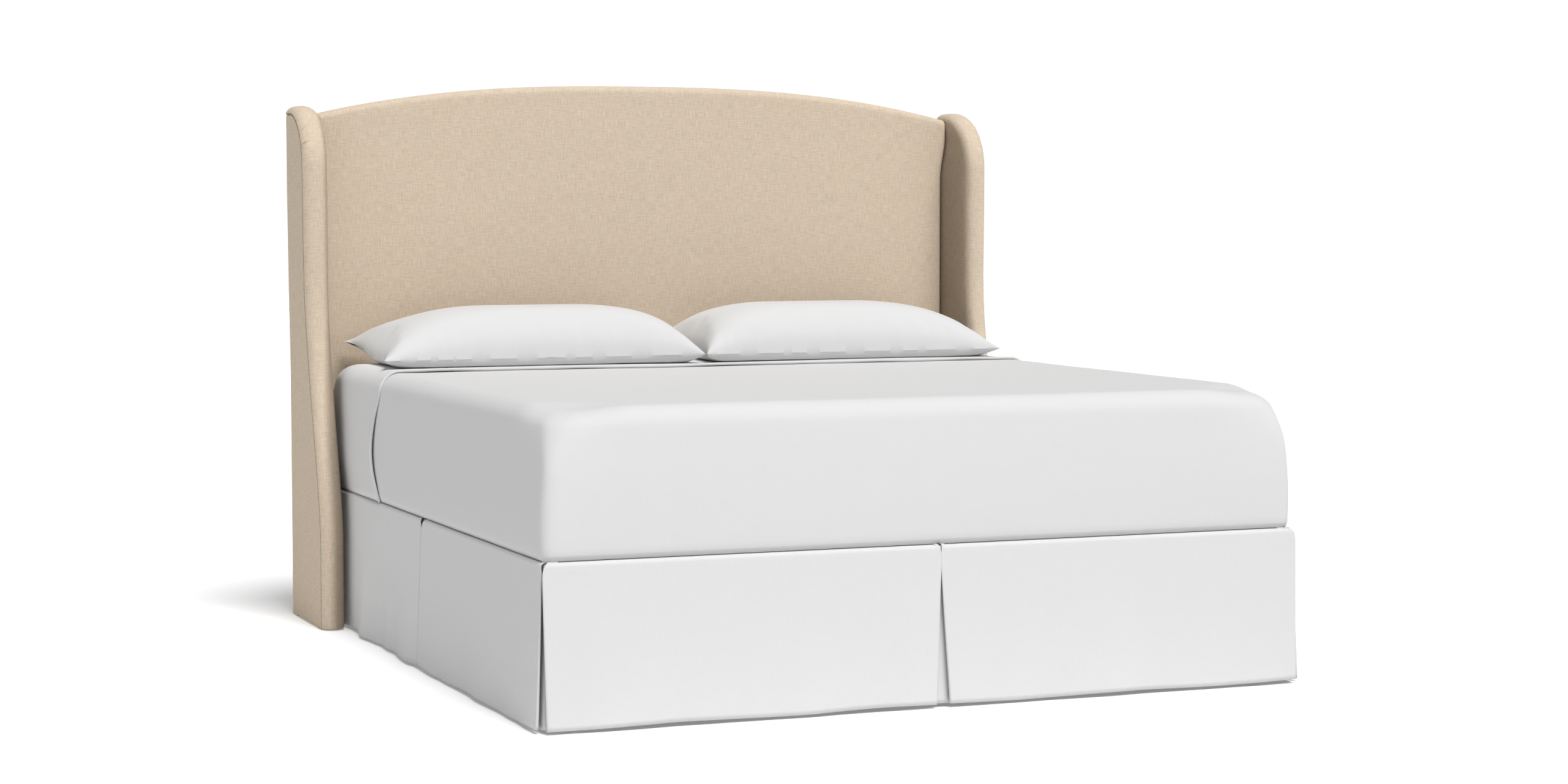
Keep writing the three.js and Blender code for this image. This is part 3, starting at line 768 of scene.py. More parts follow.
def pleat_offset(place, reach, pleats, depth):
    """Height of the stitched pleats at a distance along the seam and from the seam."""
    lip_share, lip_length, fold_at, fold_width = 0.55, 0.0060, 0.0008, 0.0022
    offset = 0.0
    for start, length, bend in pleats:
        if reach > length:
            continue
        line = start + bend * (reach / length) ** 0.6
        away = place - line
        fade = min(1.0, 2.2 * (1 - reach / length)) ** 0.7
        if away < 0:
            offset += fade * lip_share * depth * math.exp(away / lip_length)
        else:
            offset -= fade * depth * math.exp(-((away - fold_at) / fold_width) ** 2)
    return offset


class BED_OT_wings(bpy.types.Operator):
    """Make the wings' bands, inner faces, outer panels and welts"""

    bl_idname = "bed.wings"
    bl_label = "Wing upholstery"

    def execute(self, context):
        for name, sign in SIDES:
            self.make_band(context, name, sign)
            self.make_outer_panel(context, name, sign)
            self.make_welt(context, name, sign)
        return {"FINISHED"}

    def make_band(self, context, name, sign):
        settings = context.scene.bed_headboard
        outer = high("wing_outer_pad_right").x
        inner = low("wing_inner_pad_right").x
        junction = low("headboard_pad").y + settings.side_roll + 0.004
        seam, normals = wing_seam()
        section = band_section(outer - inner)
        travelled = [0.0]
        for before, after in zip(seam, seam[1:]):
            travelled.append(travelled[-1] + (after - before).length)
        board_low, board_high = low("wing_board_right"), high("wing_board_right")
        arc_end = travelled[-1] - (board_high.y - board_low.y - 0.305)
        pleats = [(arc_end - back, length, bend) for back, length, bend in
                  ((0.112, 0.036, 0.017), (0.145, 0.044, 0.015), (0.180, 0.040, 0.004))]
        clearance, lean_reach = 0.0003, 0.14
        board = board_low.x - clearance
        stations = [(place, point, normal, 0.0)
                    for place, point, normal in zip(travelled, seam, normals)]
        stations = self.turned_under(stations, 0.005)
        rows, cloth = [], []
        for place, point, normal, inset in stations:
            row, cloth_row, reach = [], [], 0.0
            crown = mix(settings.band_crown, settings.top_crown, smooth(normal.y) ** 1.5)
            side = wing_outer(point.y)
            squeeze = (side - inner) / (outer - inner)
            before = (section[0][0], 0.0)
            for inward, share in section:
                outward = crown * share
                reach += math.dist(before, (inward, outward))
                before = (inward, outward)
                puff = pleat_offset(place, reach, pleats, settings.pleat_depth)
                puff += 0.0005 * ripple((place, reach, sign), 0.05) * smooth(outward / 0.01)
                near_seam = smooth((0.12 - reach) / 0.05)
                out = outward + puff * smooth(outward / 0.006 + 0.25) * near_seam
                row.append(self.station_point(point, normal, side - squeeze * inward, out, board,
                                              inset))
                cloth_row.append((reach, place))
            end = max(point.x, junction)
            for k in range(1, 17):
                y = mix(point.x, end, k / 16)
                cloth_row.append((reach + y - point.x, place))
                lean = wing_lean(settings, point.y)
                near_pad = min(1.0, max(0.0, 1 - (junction - y) / lean_reach))
                row.append(Vector((inner - lean * near_pad + inset, y, point.y)))
            back = point + normal * clearance
            row += [Vector((board, end, point.y)), Vector((board, back.x, back.y)),
                    Vector((side - SEAM_GROOVE, back.x, back.y))]
            cloth_row += [(reach, place)] * 3
            row.append(row[0].copy())
            cloth_row.append(cloth_row[0])
            rows.append([Vector((sign * p.x, p.y, p.z)) for p in row])
            cloth.append(cloth_row)
        surface = grid(rows, cloth)
        surface.close_ends(len(rows[0]))
        band = surface.build(f"wing_band_{name}", linen(context))
        # Painted shade on the band's inner side, laid over the linen's own colour
        self.mark_painted_shade(band, inner)
        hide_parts(f"wing_front_band_{name}", f"wing_inner_pad_{name}")
        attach(band, "root")

    def mark_painted_shade(self, band, inner):
        """Marks painted shade on a band's inner side, which the linen's material mixes in as a dark
        colour.
        """
        strongest, soft_edge, high_margin, low_margin = 0.52, 0.030, 0.021, 0.050
        widening_from, widening_over, fading_from, fading_over = 0.95, 0.45, 1.38, 0.08
        mark = band.data.attributes.new(PAINTED_SHADE_ATTRIBUTE, "FLOAT", "POINT")
        for i, vertex in enumerate(band.data.vertices):
            lower = smooth((widening_from - vertex.co.z) / widening_over)
            start = inner + mix(high_margin, low_margin, lower)
            upper = 1 - 0.7 * smooth((vertex.co.z - fading_from) / fading_over)
            mark.data[i].value = strongest * upper * smooth((start - abs(vertex.co.x)) / soft_edge)

    def station_point(self, point, normal, x, out, board, inset):
        """A point of the band's section, drawn in towards the board by inset."""
        board_width = 0.038
        core = min(max(x, board), board + board_width)
        away = Vector((x - core, out))
        if inset and away.length > inset:
            away *= 1 - inset / away.length
        position = point + normal * away.y
        return Vector((core + away.x, position.x, position.y))

    def turned_under(self, stations, radius):
        """Adds stations that round the band's lower edge inwards."""
        place, point, normal, _ = stations[0]
        rounded = []
        for k in range(5, 0, -1):
            turn = math.pi / 2 * k / 5
            rounded.append((place, Vector((point.x, point.y + radius * (1 - math.sin(turn)))),
                            normal, radius * (1 - math.cos(turn))))
        return rounded + [s for s in stations if s[1].y > point.y + radius]

    def make_outer_panel(self, context, name, sign):
        back = high("wing_outer_pad_right").y
        seam, _ = wing_seam()
        roll, edge = 0.0036, 0.006
        rows, cloth = [], []
        bottom = seam[0].y
        for point in seam:
            if back - point.x < 0.002:
                continue
            row, cloth_row = [], []
            margin = min(0.012, (back - point.x) / 3)
            for y in graded(point.x, back, 10, margin, 5):
                from_seam = y - point.x
                if point.x > seam[0].x + WING_SET_BACK + MILLIMETRE:
                    from_seam = min(from_seam, seam[-1].y - point.y)
                near = min(from_seam, point.y - bottom + 0.004)
                drop = roll * (1 - smooth(near / edge)) ** 1.5
                drop += 0.0012 * (1 - smooth((back - y) / 0.006))
                x = wing_outer(point.y) - drop + 0.0005 * ripple((sign, y, point.y), 0.2)
                x = max(x, high("wing_board_right").x + 0.0018)
                row.append(Vector((sign * x, y, point.y)))
                cloth_row.append((y, point.y))
            rows.append(row)
            cloth.append(cloth_row)
        panel = grid(rows, cloth).build(f"wing_panel_{name}", linen(context), thickness=0.0014,
                                        outward_from=(0, 0, 0.7))
        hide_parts(f"wing_outer_pad_{name}")
        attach(panel, "root")

    def make_welt(self, context, name, sign):
        settings = context.scene.bed_headboard
        seam, normals = wing_seam()
        sunk, forward = 0.0013, 0.0021
        path = [Vector((sign * (wing_outer(p.y) - sunk), p.x + n.x * forward, p.y + n.y * forward))
                for p, n in zip(seam, normals)]
        # The welt is a real cord in the seam; its dark linen is painted shadow of the seam's groove
        welt = tube(f"wing_welt_{name}", path, settings.welt, seam_shadow_linen(context), sides=8)
        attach(welt, "root")


# ------------------------------------------------------------------ mattress and bedding


class Dressed:
    """The dressed mattress: rounded edges, bellied sides and foot corners that give way."""

    def __init__(self, settings):
        self.radius = settings.radius
        self.plan = settings.plan_radius
        self.slump = settings.slump
        self.bulge = settings.bulge
        self.settle = settings.settle

    def outline(self, x, y, drop, shrink):
        """A point of the plain rectangle moved to the rounded outline at a depth below the top."""
        margin, top_widening, widening_depth, least_radius = 0.25, 0.055, 0.16, 0.012
        widened = mix(self.plan + top_widening, self.plan, smooth(drop / widening_depth))
        round_by = max(widened - shrink, least_radius)
        half = BED_SIDE
        if abs(x) > half - margin:
            out = (abs(x) - half + margin) * (margin - shrink) / margin
            x = math.copysign(half - margin + out, x)
        if y < BED_FOOT + margin:
            y = BED_FOOT + margin - (BED_FOOT + margin - y) * (margin - shrink) / margin
        if y > BED_HEAD - margin:
            y = BED_HEAD - margin + (y - BED_HEAD + margin) * (margin - shrink) / margin
        side_x, foot, head = half - shrink, BED_FOOT + shrink, BED_HEAD - shrink
        core = Vector((min(max(x, -side_x + round_by), side_x - round_by),
                       min(max(y, foot + round_by), head - round_by), 0))
        away = Vector((x, y, 0)) - core
        if away.length < 1e-9:
            return Vector((x, y, 0)), Vector((0, 0, 0))
        reach = max(abs(away.x), abs(away.y))
        side = away.normalized()
        return core + side * reach, side

    def place(self, x, y, z, turn, inset):
        """A point of the skin: z up the side, then turn from 0 to a quarter over the edge."""
        if turn > 0:
            shrink = self.radius - (self.radius - inset) * math.cos(turn)
            z = BED_TOP - self.radius + (self.radius - inset) * math.sin(turn)
        else:
            shrink = inset
        drop = BED_TOP - z
        point, side = self.outline(x, y, drop, shrink)
        normal = side * math.cos(turn) + Vector((0, 0, math.sin(turn)))
        tall = (z - BED_BOTTOM) / (BED_TOP - BED_BOTTOM)
        belly = self.bulge * math.sin(math.pi * min(1.0, max(0.0, tall))) * math.cos(turn)
        tuck = 0.004 * smooth((0.05 - tall) / 0.05) ** 2
        result = Vector((point.x, point.y, z)) + side * (belly - tuck)
        spreading = 1 - 0.7 * smooth((tall - 0.15) / 0.45)
        result.x += side.x * self.settle * spreading * math.cos(turn)
        foot_reach, head_reach, head_share, give_depth = 0.24, 0.18, 0.45, 0.075
        near_side = smooth((abs(x) - BED_SIDE + foot_reach) / foot_reach)
        foot_corner = near_side * smooth((BED_FOOT + foot_reach - y) / foot_reach)
        head_corner = head_share * near_side * smooth((y - BED_HEAD + head_reach) / head_reach)
        give = self.slump * (foot_corner + head_corner) * math.exp(-drop / give_depth)
        if give:
            result.x -= math.copysign(give, x)
            result.y += give if y < 0 else -give
            result.z -= 0.32 * give * math.sin(turn)
        soft = 0.0012 * ripple((x, y, z), 0.35, 3.0) + 0.0004 * ripple((x, y, z), 0.08, 8.0)
        return result + normal * soft

    def profile(self, bottom, step):
        """Heights and turns up a side: from its lower edge to the top."""
        rise = [(z, 0.0) for z in spread(bottom, BED_TOP - self.radius, step)]
        return rise + [(BED_TOP, math.pi / 2 * k / 9) for k in range(1, 10)]


def bedding_patches(surface, dressed, settings, inset, start, end, foot, head, bottom, laid=None):
    """The top, the sides and, where wanted, the end faces of a layer over the mattress."""
    step = settings.spacing
    ys, xs = spread(start, end, step), spread(-BED_SIDE, BED_SIDE, step)
    profile = dressed.profile(bottom, step)
    place = laid or dressed.place
    surface.patch([[place(x, y, BED_TOP, math.pi / 2, inset) for x in xs] for y in ys],
                  [[(x, y) for x in xs] for y in ys])
    lengths = [BED_TOP - z + dressed.radius * (math.pi / 2 - turn if turn else 0.57)
               for z, turn in profile]
    for side in (-BED_SIDE, BED_SIDE):
        out = math.copysign(1, side)
        surface.patch([[place(side, y, z, turn, inset) for z, turn in profile] for y in ys],
                      [[(side + out * length, y) for length in lengths] for y in ys])
    for wanted, y, out in ((foot, BED_FOOT, -1), (head, BED_HEAD, 1)):
        if wanted:
            surface.patch([[place(x, y, z, turn, inset) for z, turn in profile] for x in xs],
                          [[(x, y + out * length) for length in lengths] for x in xs])


def flat_size(start, end, foot, bottom):
    """Width, length and area of the cloth before it is laid."""
    drop = BED_TOP - bottom
    width = 2 * (BED_SIDE + drop)
    length = end - start + (drop if foot else 0)
    corners = 2 * drop * drop if foot else 0
    return (width, length), width * length - corners


class BED_OT_bedding(bpy.types.Operator):
    """Make the mattress, the fitted sheet, the coverlet and the turned sheet"""

    bl_idname = "bed.bedding"
    bl_label = "Mattress and bedding"

    def execute(self, context):
        settings = context.scene.bed_bedding
        dressed = Dressed(settings)
        self.make_mattress(settings, dressed)
        hem = BED_BOTTOM + 0.0015
        plain = [
            ("bed_fitted_sheet", "fitted_sheet", 0.0088, 0.0012, BED_FOOT, BED_HEAD - 0.012, True),
            ("bed_coverlet", "coverlet", 0.0045, 0.0028, BED_FOOT, COVERLET_END, True),
        ]
        for name, node, inset, thickness, start, end, foot in plain:
            surface = Surface()
            bedding_patches(surface, dressed, settings, inset, start, end, foot, False, hem)
            self.finish(context, surface, name, node, thickness,
                        flat_size(start, end, foot, hem), ["mattress_core"])
        self.make_turned_sheet(context, settings, dressed, hem)
        return {"FINISHED"}

    def finish(self, context, surface, name, node, thickness, cut, under):
        piece = surface.build(name, percale(context), thickness=thickness,
                              outward_from=BED_CENTRE)
        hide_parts(node)
        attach(piece, "mattress_body")
        return piece

    def make_turned_sheet(self, context, settings, dressed, hem):
        high_edge, bow_reach, lift_reach = BED_TOP - dressed.radius, 0.22, 0.045
        roll_inset, roll_radius, roll_step = 0.0026, 0.0042, 0.01

        def laid(x, y, z, turn, inset):
            near = smooth(1 - (y - HEM_LINE) / bow_reach)
            share = min(1.0, max(0.0, (z - hem) / (high_edge - hem)))
            bow = settings.hem_bow * math.sin(math.pi * share) ** 1.2 if turn == 0 else 0.0
            wander = 0.004 * ripple((x, 0, 0), 0.5, 2.0) if turn > 0 else 0.0
            position = dressed.place(x, y + near * (bow + wander), z, turn, inset)
            edge = smooth(1 - (y - HEM_LINE) / lift_reach)
            if turn < math.pi / 4:
                lift = settings.hem_lift * math.sin(math.pi * min(1, share * 0.9 + 0.1))
                position.x += math.copysign(lift * edge, x)
            ruck = max(0.0, ripple((x, 0, 0), 0.22, 5.0) - 0.05)
            position.z += edge * (0.0028 + 0.0040 * ruck) * math.sin(turn) ** 2
            return position

        end = high("turned_sheet").y
        surface = Surface()
        bedding_patches(surface, dressed, settings, 0.0006, HEM_LINE, end, False, False, hem, laid)
        self.finish(context, surface, "bed_turned_sheet", "turned_sheet", 0.0032,
                    flat_size(HEM_LINE, end, False, hem), ["bed_coverlet"])
        profile = dressed.profile(hem, roll_step)
        side_up = [laid(-BED_SIDE, HEM_LINE, z, turn, roll_inset) for z, turn in profile]
        over = [laid(x, HEM_LINE, BED_TOP, math.pi / 2, roll_inset)
                for x in spread(-BED_SIDE, BED_SIDE, roll_step)[1:-1]]
        side_down = [laid(BED_SIDE, HEM_LINE, z, turn, roll_inset) for z, turn in reversed(profile)]
        roll = tube("turned_sheet_hem", side_up + over + side_down, roll_radius, percale(context),
                    sides=12)
        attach(roll, "mattress_body")

    def make_mattress(self, settings, dressed):
        inset = 0.0105
        surface = Surface()
        under = BED_BOTTOM + 0.0008
        bedding_patches(surface, dressed, settings, inset, BED_FOOT, BED_HEAD, True, True, under)
        xs = spread(-BED_SIDE, BED_SIDE, settings.spacing)
        ys = spread(BED_FOOT, BED_HEAD, settings.spacing)
        base = []
        for y in ys:
            row = [dressed.place(x, y, under, 0.0, inset) for x in xs]
            for k in range(1, len(xs) - 1):
                if y not in (ys[0], ys[-1]):
                    row[k].z = under
            base.append(row)
        surface.patch(base, [[(x, -y) for x in xs] for y in ys])
        material = woven_material(
            "mattress ticking", (0.74, 0.73, 0.70), (0.62, 0.61, 0.58), pitch=0.0016, slub=0.7,
            roughness=0.88, relief=0.0003, sheen=0.1)
        piece = surface.build("mattress_core", material, outward_from=BED_CENTRE)
        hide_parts("mattress")
        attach(piece, "mattress_body")


# ------------------------------------------------------------------ pillows


class BED_OT_pillows(bpy.types.Operator):
    """Make the two pillows by filling sewn cases in a cloth simulation"""

    bl_idname = "bed.pillows"
    bl_label = "Pillows"

    def execute(self, context):
        for name, sign in SIDES:
            self.make_pillow(context, name, sign)
        return {"FINISHED"}

    def make_pillow(self, context, name, sign):
        settings = context.scene.bed_pillows
        node_low, node_high = low(f"pillow_{name}"), high(f"pillow_{name}")
        size, middle = node_high - node_low, (node_low + node_high) / 2
        seam_height, sunken_crown, belly_swell = 0.021, 0.005, 3.4
        seam = node_low.z + seam_height
        crown, belly = node_high.z - seam - sunken_crown, seam - node_low.z
        us = self.ease(spread(-1, 1, 2 * settings.spacing / size.x))
        vs = self.ease(spread(-1, 1, 2 * settings.spacing / size.y))
        surface = Surface()
        for layer in (1, -1):
            rows = []
            for v in vs:
                row = []
                for u in us:
                    x, y = self.seam_line(u, v, size, settings.waist)
                    tip, full = self.tip(u, v, sign), self.fullness(u, v, sign)
                    z = seam + tip * settings.tip_rise
                    if layer > 0:
                        gather = self.gathers(u, v, size, sign) * settings.pucker
                        z += crown * full + gather
                    else:
                        z -= belly * min(1.0, belly_swell * full) ** 0.8 * (1 - 0.6 * tip)
                    row.append(Vector((middle.x + x, middle.y + y, z)))
                rows.append(row)
            surface.patch(
                rows, [[(u * size.x / 2, layer * v * size.y / 2) for u in us] for v in vs])
        piece = surface.build(f"soft_pillow_{name}", percale(context),
                              outward_from=(middle.x, middle.y, seam))
        start = [v.co.copy() for v in piece.data.vertices]
        self.fill(context, piece, settings)
        self.keep_near(piece, start, settings.cap, node_low.z, node_high.z)
        rounder = piece.modifiers.new("Fine", "SUBSURF")
        rounder.levels = rounder.render_levels = 1
        apply_modifiers(piece)
        self.press_seam(piece, seam, middle, size, sign, settings.tip_rise)
        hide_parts(f"pillow_{name}")
        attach(piece, f"pillow_{name}_body")

    def ease(self, values):
        """Draws the lines together near the seams."""
        return [math.copysign(1 - (1 - abs(v)) ** 1.25, v) if abs(v) > 0 else 0.0 for v in values]

    def seam_line(self, u, v, size, waist):
        """Where a point of the flat case lies in plan: its sides pull in between the corners."""
        long_ear, short_ear, end_waist = 0.019, 0.010, waist * 0.8
        x = u * (size.x / 2 + long_ear * abs(v) ** 3)
        x -= math.copysign(end_waist * (1 - v * v), u) * u * u
        y = v * (size.y / 2 + short_ear * abs(u) ** 3)
        y -= math.copysign(waist * (1 - u * u), v) * v * v
        return x, y

    def fullness(self, u, v, sign):
        """Height share of the filling over the seam, from 0 at the seam to 1 in the middle."""
        if u * sign < 0:
            squareness, fall, corner_loss = 3.9, 0.50, 0.10
        else:
            squareness, fall, corner_loss = 3.0, 0.62, 0.35 if v > 0 else 0.12
        along = max(0.0, 1 - abs(u) ** squareness) ** fall
        across = max(0.0, 1 - abs(v) ** 3.0) ** 0.52
        return along * across * (1 - corner_loss * (abs(u) * abs(v)) ** 3)

    def tip(self, u, v, sign):
        """Share of the rise of a pillow's back corners, nearly all of it at the outer one."""
        outer = smooth((u * sign - 0.60) / 0.40)
        inner = 0.12 * smooth((-u * sign - 0.70) / 0.30)
        return (outer + inner) * smooth((v - 0.10) / 0.90)

    def gathers(self, u, v, size, sign):
        """Short dimples that run in from the seams."""
        x, y = u * size.x / 2, v * size.y / 2
        from_front = size.y / 2 - abs(y)
        from_end = size.x / 2 - abs(x)
        side_first, side_step, side_stray, side_reach = -0.42, 0.066, 0.021, 0.028
        end_first, end_step, end_stray, end_reach, end_depth = -0.16, 0.08, 0.012, 0.040, 0.7
        most_lean = 0.18
        dimples = 0.0
        for k in range(13):
            place = side_first + side_step * k + side_stray * math.sin(3.7 * k + sign)
            depth = 0.45 + 0.55 * abs(math.sin(2.3 * k + 0.8 * sign))
            lean = most_lean * math.sin(1.9 * k)
            away = (x - place - lean * from_front) / (0.011 + 0.05 * from_front)
            along = (from_front - side_reach) / 0.030
            dimples -= depth * math.exp(-away * away) * math.exp(-along ** 2)
        for k in range(5):
            place = end_first + end_step * k + end_stray * math.sin(2.9 * k)
            away = (y - place) / (0.012 + 0.06 * from_end)
            along = (from_end - end_reach) / 0.038
            dimples -= end_depth * math.exp(-away * away) * math.exp(-along ** 2)
        return dimples

    def fill(self, context, piece, settings):
        cloth = piece.modifiers.new("Filling", "CLOTH")
        cloth.settings.quality = 6
        cloth.settings.mass = 0.25
        cloth.settings.tension_stiffness = 30
        cloth.settings.compression_stiffness = 30
        cloth.settings.shear_stiffness = 10
        cloth.settings.bending_stiffness = 0.8
        cloth.settings.use_pressure = True
        cloth.settings.uniform_pressure_force = settings.pressure
        cloth.settings.effector_weights.gravity = 0.0
        cloth.collision_settings.use_collision = False
        scene = context.scene
        cloth.point_cache.frame_start, cloth.point_cache.frame_end = 1, settings.frames
        for at in range(1, settings.frames + 1):
            scene.frame_set(at)
        apply_modifiers(piece)
        scene.frame_set(1)

    def keep_near(self, piece, start, cap, lowest, highest):
        """Limits how far the simulation moved each point, and keeps the case on the bed."""
        upward_share = 0.6
        for vertex, before in zip(piece.data.vertices, start):
            moved = vertex.co - before
            if moved.length > cap:
                moved *= cap / moved.length
            moved.z *= upward_share
            vertex.co = before + moved
            vertex.co.z = min(max(vertex.co.z, lowest), highest)
        piece.data.update()

    def press_seam(self, piece, seam, middle, size, sign, tip_rise):
        """Draws the joined edge in to a fine line."""
        mesh, reach, pull = piece.data, 0.004, 0.0022
        for vertex in mesh.vertices:
            u = (vertex.co.x - middle.x) / (size.x / 2)
            v = (vertex.co.y - middle.y) / (size.y / 2)
            level = seam + self.tip(max(-1, min(1, u)), max(-1, min(1, v)), sign) * tip_rise
            off = abs(vertex.co.z - level)
            edge = smooth((max(abs(u), abs(v)) - 0.90) / 0.08)
            if edge and off < reach:
                toward = Vector((middle.x - vertex.co.x, middle.y - vertex.co.y, 0)).normalized()
                vertex.co += toward * pull * edge * (1 - off / reach)
        mesh.update()


# ------------------------------------------------------------------ bed skirt

HEM_CLEARANCE = 0.009
SKIRT_CENTRE = (0, 0, 0.2)
SKIRT_WAVES = ((1.0, 0.41, 1.0), (0.55, 0.24, 2.1), (0.25, 0.13, 3.3))
INSERT_STEP = 0.012


class SkirtPanel:
    """A hanging length of skirt between two pleats, in metres along, out and up."""

    def __init__(self, settings, length, flare, opens, rounds, wave, seed, gap=0.0011):
        self.settings, self.gap = settings, gap
        self.length, self.flare, self.opens, self.rounds = length, flare, opens, rounds
        self.wave, self.seed = wave, seed
        self.top = DECK_TOP - 0.0001
        self.hem = FLOOR + HEM_CLEARANCE

    def profile(self, behind=0.0):
        """Points down the cloth as (out, height, share of the fall)."""
        s = self.settings
        over = s.stand_off - s.shoulder
        top = self.top - 0.55 * behind
        line = [(x, top, 0.0) for x in spread(-0.031 if not behind else over - 0.004, over, 0.01)]
        for k in range(1, 9):
            turn = math.pi / 2 * k / 8
            line.append((over + (s.shoulder - behind) * math.sin(turn),
                         top - s.shoulder + s.shoulder * math.cos(turn), 0.0))
        start = top - s.shoulder
        for z in spread(start, self.hem, 0.012)[1:]:
            fall = (start - z) / (start - self.hem)
            line.append((s.stand_off - behind - 0.7 * behind * fall, z, fall))
        return line

    def edge(self, which, height):
        """Where the panel ends at a height: rounded at the top, then opening to the hem."""
        from_start = max(0.0, self.settings.pleat_start - height)
        opening = self.gap + self.opens[which] * (
            from_start / (self.settings.pleat_start - self.hem)) ** 1.05
        shoulder = max(0.0, 1 - (self.top - height) / max(0.022, 1.15 * self.rounds[which]))
        return opening + self.rounds[which] * (1 - math.sqrt(max(0.0, 1 - shoulder ** 2)))

    def swing(self, along, height, fall):
        """How far the cloth hangs in and out of its plane."""
        ends = smooth(along / 0.10) * smooth((self.length - along) / 0.10)
        waves = sum(share * math.sin(math.tau * along / length + phase * self.seed)
                    for share, length, phase in SKIRT_WAVES)
        drape = self.wave * fall ** 1.6 * waves / 1.5 * (0.25 + 0.75 * ends)
        return drape + 0.0007 * ripple((along, height, self.seed), 0.12) * fall

    def columns(self):
        s = self.settings
        fold = [("fold", math.pi * k / 8) for k in range(1, 9)]
        tail = [("tail", d) for d in spread(0.0, s.pleat_return, 0.012)[1:]]
        main = [("main", t) for t in spread_fine(0.0, 1.0, 0.018 / self.length,
                                                 0.03 / self.length, 0.004 / self.length)]
        start = [(0, *c) for c in reversed(fold + tail)]
        return start + [(None, *c) for c in main] + [(1, *c) for c in fold + tail]

    def surface(self, to_world):
        s = self.settings
        rows, cloth = [], []
        columns = self.columns()
        for out, height, fall in self.profile():
            a, b = self.edge(0, height), self.length - self.edge(1, height)
            down = smooth((self.top - height - 0.003) / 0.030)
            radius = s.fold_radius * (0.22 + 0.30 * down + 0.48 * fall)
            row, cloth_row = [], []
            for which, kind, value in columns:
                if kind == "main":
                    along, inward = mix(a, b, value), 0.0
                else:
                    at, way = (a, -1) if which == 0 else (b, 1)
                    if kind == "fold":
                        along = at + way * radius * math.sin(value)
                        inward = radius * (1 - math.cos(value))
                    else:
                        along = at - way * value * (0.15 + 0.85 * down)
                        inward = 2 * radius
                t = along / self.length
                flare = mix(self.flare[0], self.flare[1], t) * (0.85 * fall + 0.15 * fall ** 2)
                swing = self.swing(along, height, fall)
                lift = 0.0016 * fall ** 3 * math.sin(math.tau * along / 0.53 + 1.7 * self.seed)
                row.append(to_world(along, out + flare + swing - inward, height + lift))
                across = along if kind == "main" else at + way * value
                cloth_row.append((across, self.top - height - out))
            rows.append(row)
            cloth.append(cloth_row)
        return grid(rows, cloth)

    def cut(self):
        """Width and length of the flat cloth, with what is folded back at both ends."""
        s = self.settings
        width = self.length + 2 * (s.pleat_return + math.pi * s.fold_radius)
        return (width, self.top - self.hem + 0.04)


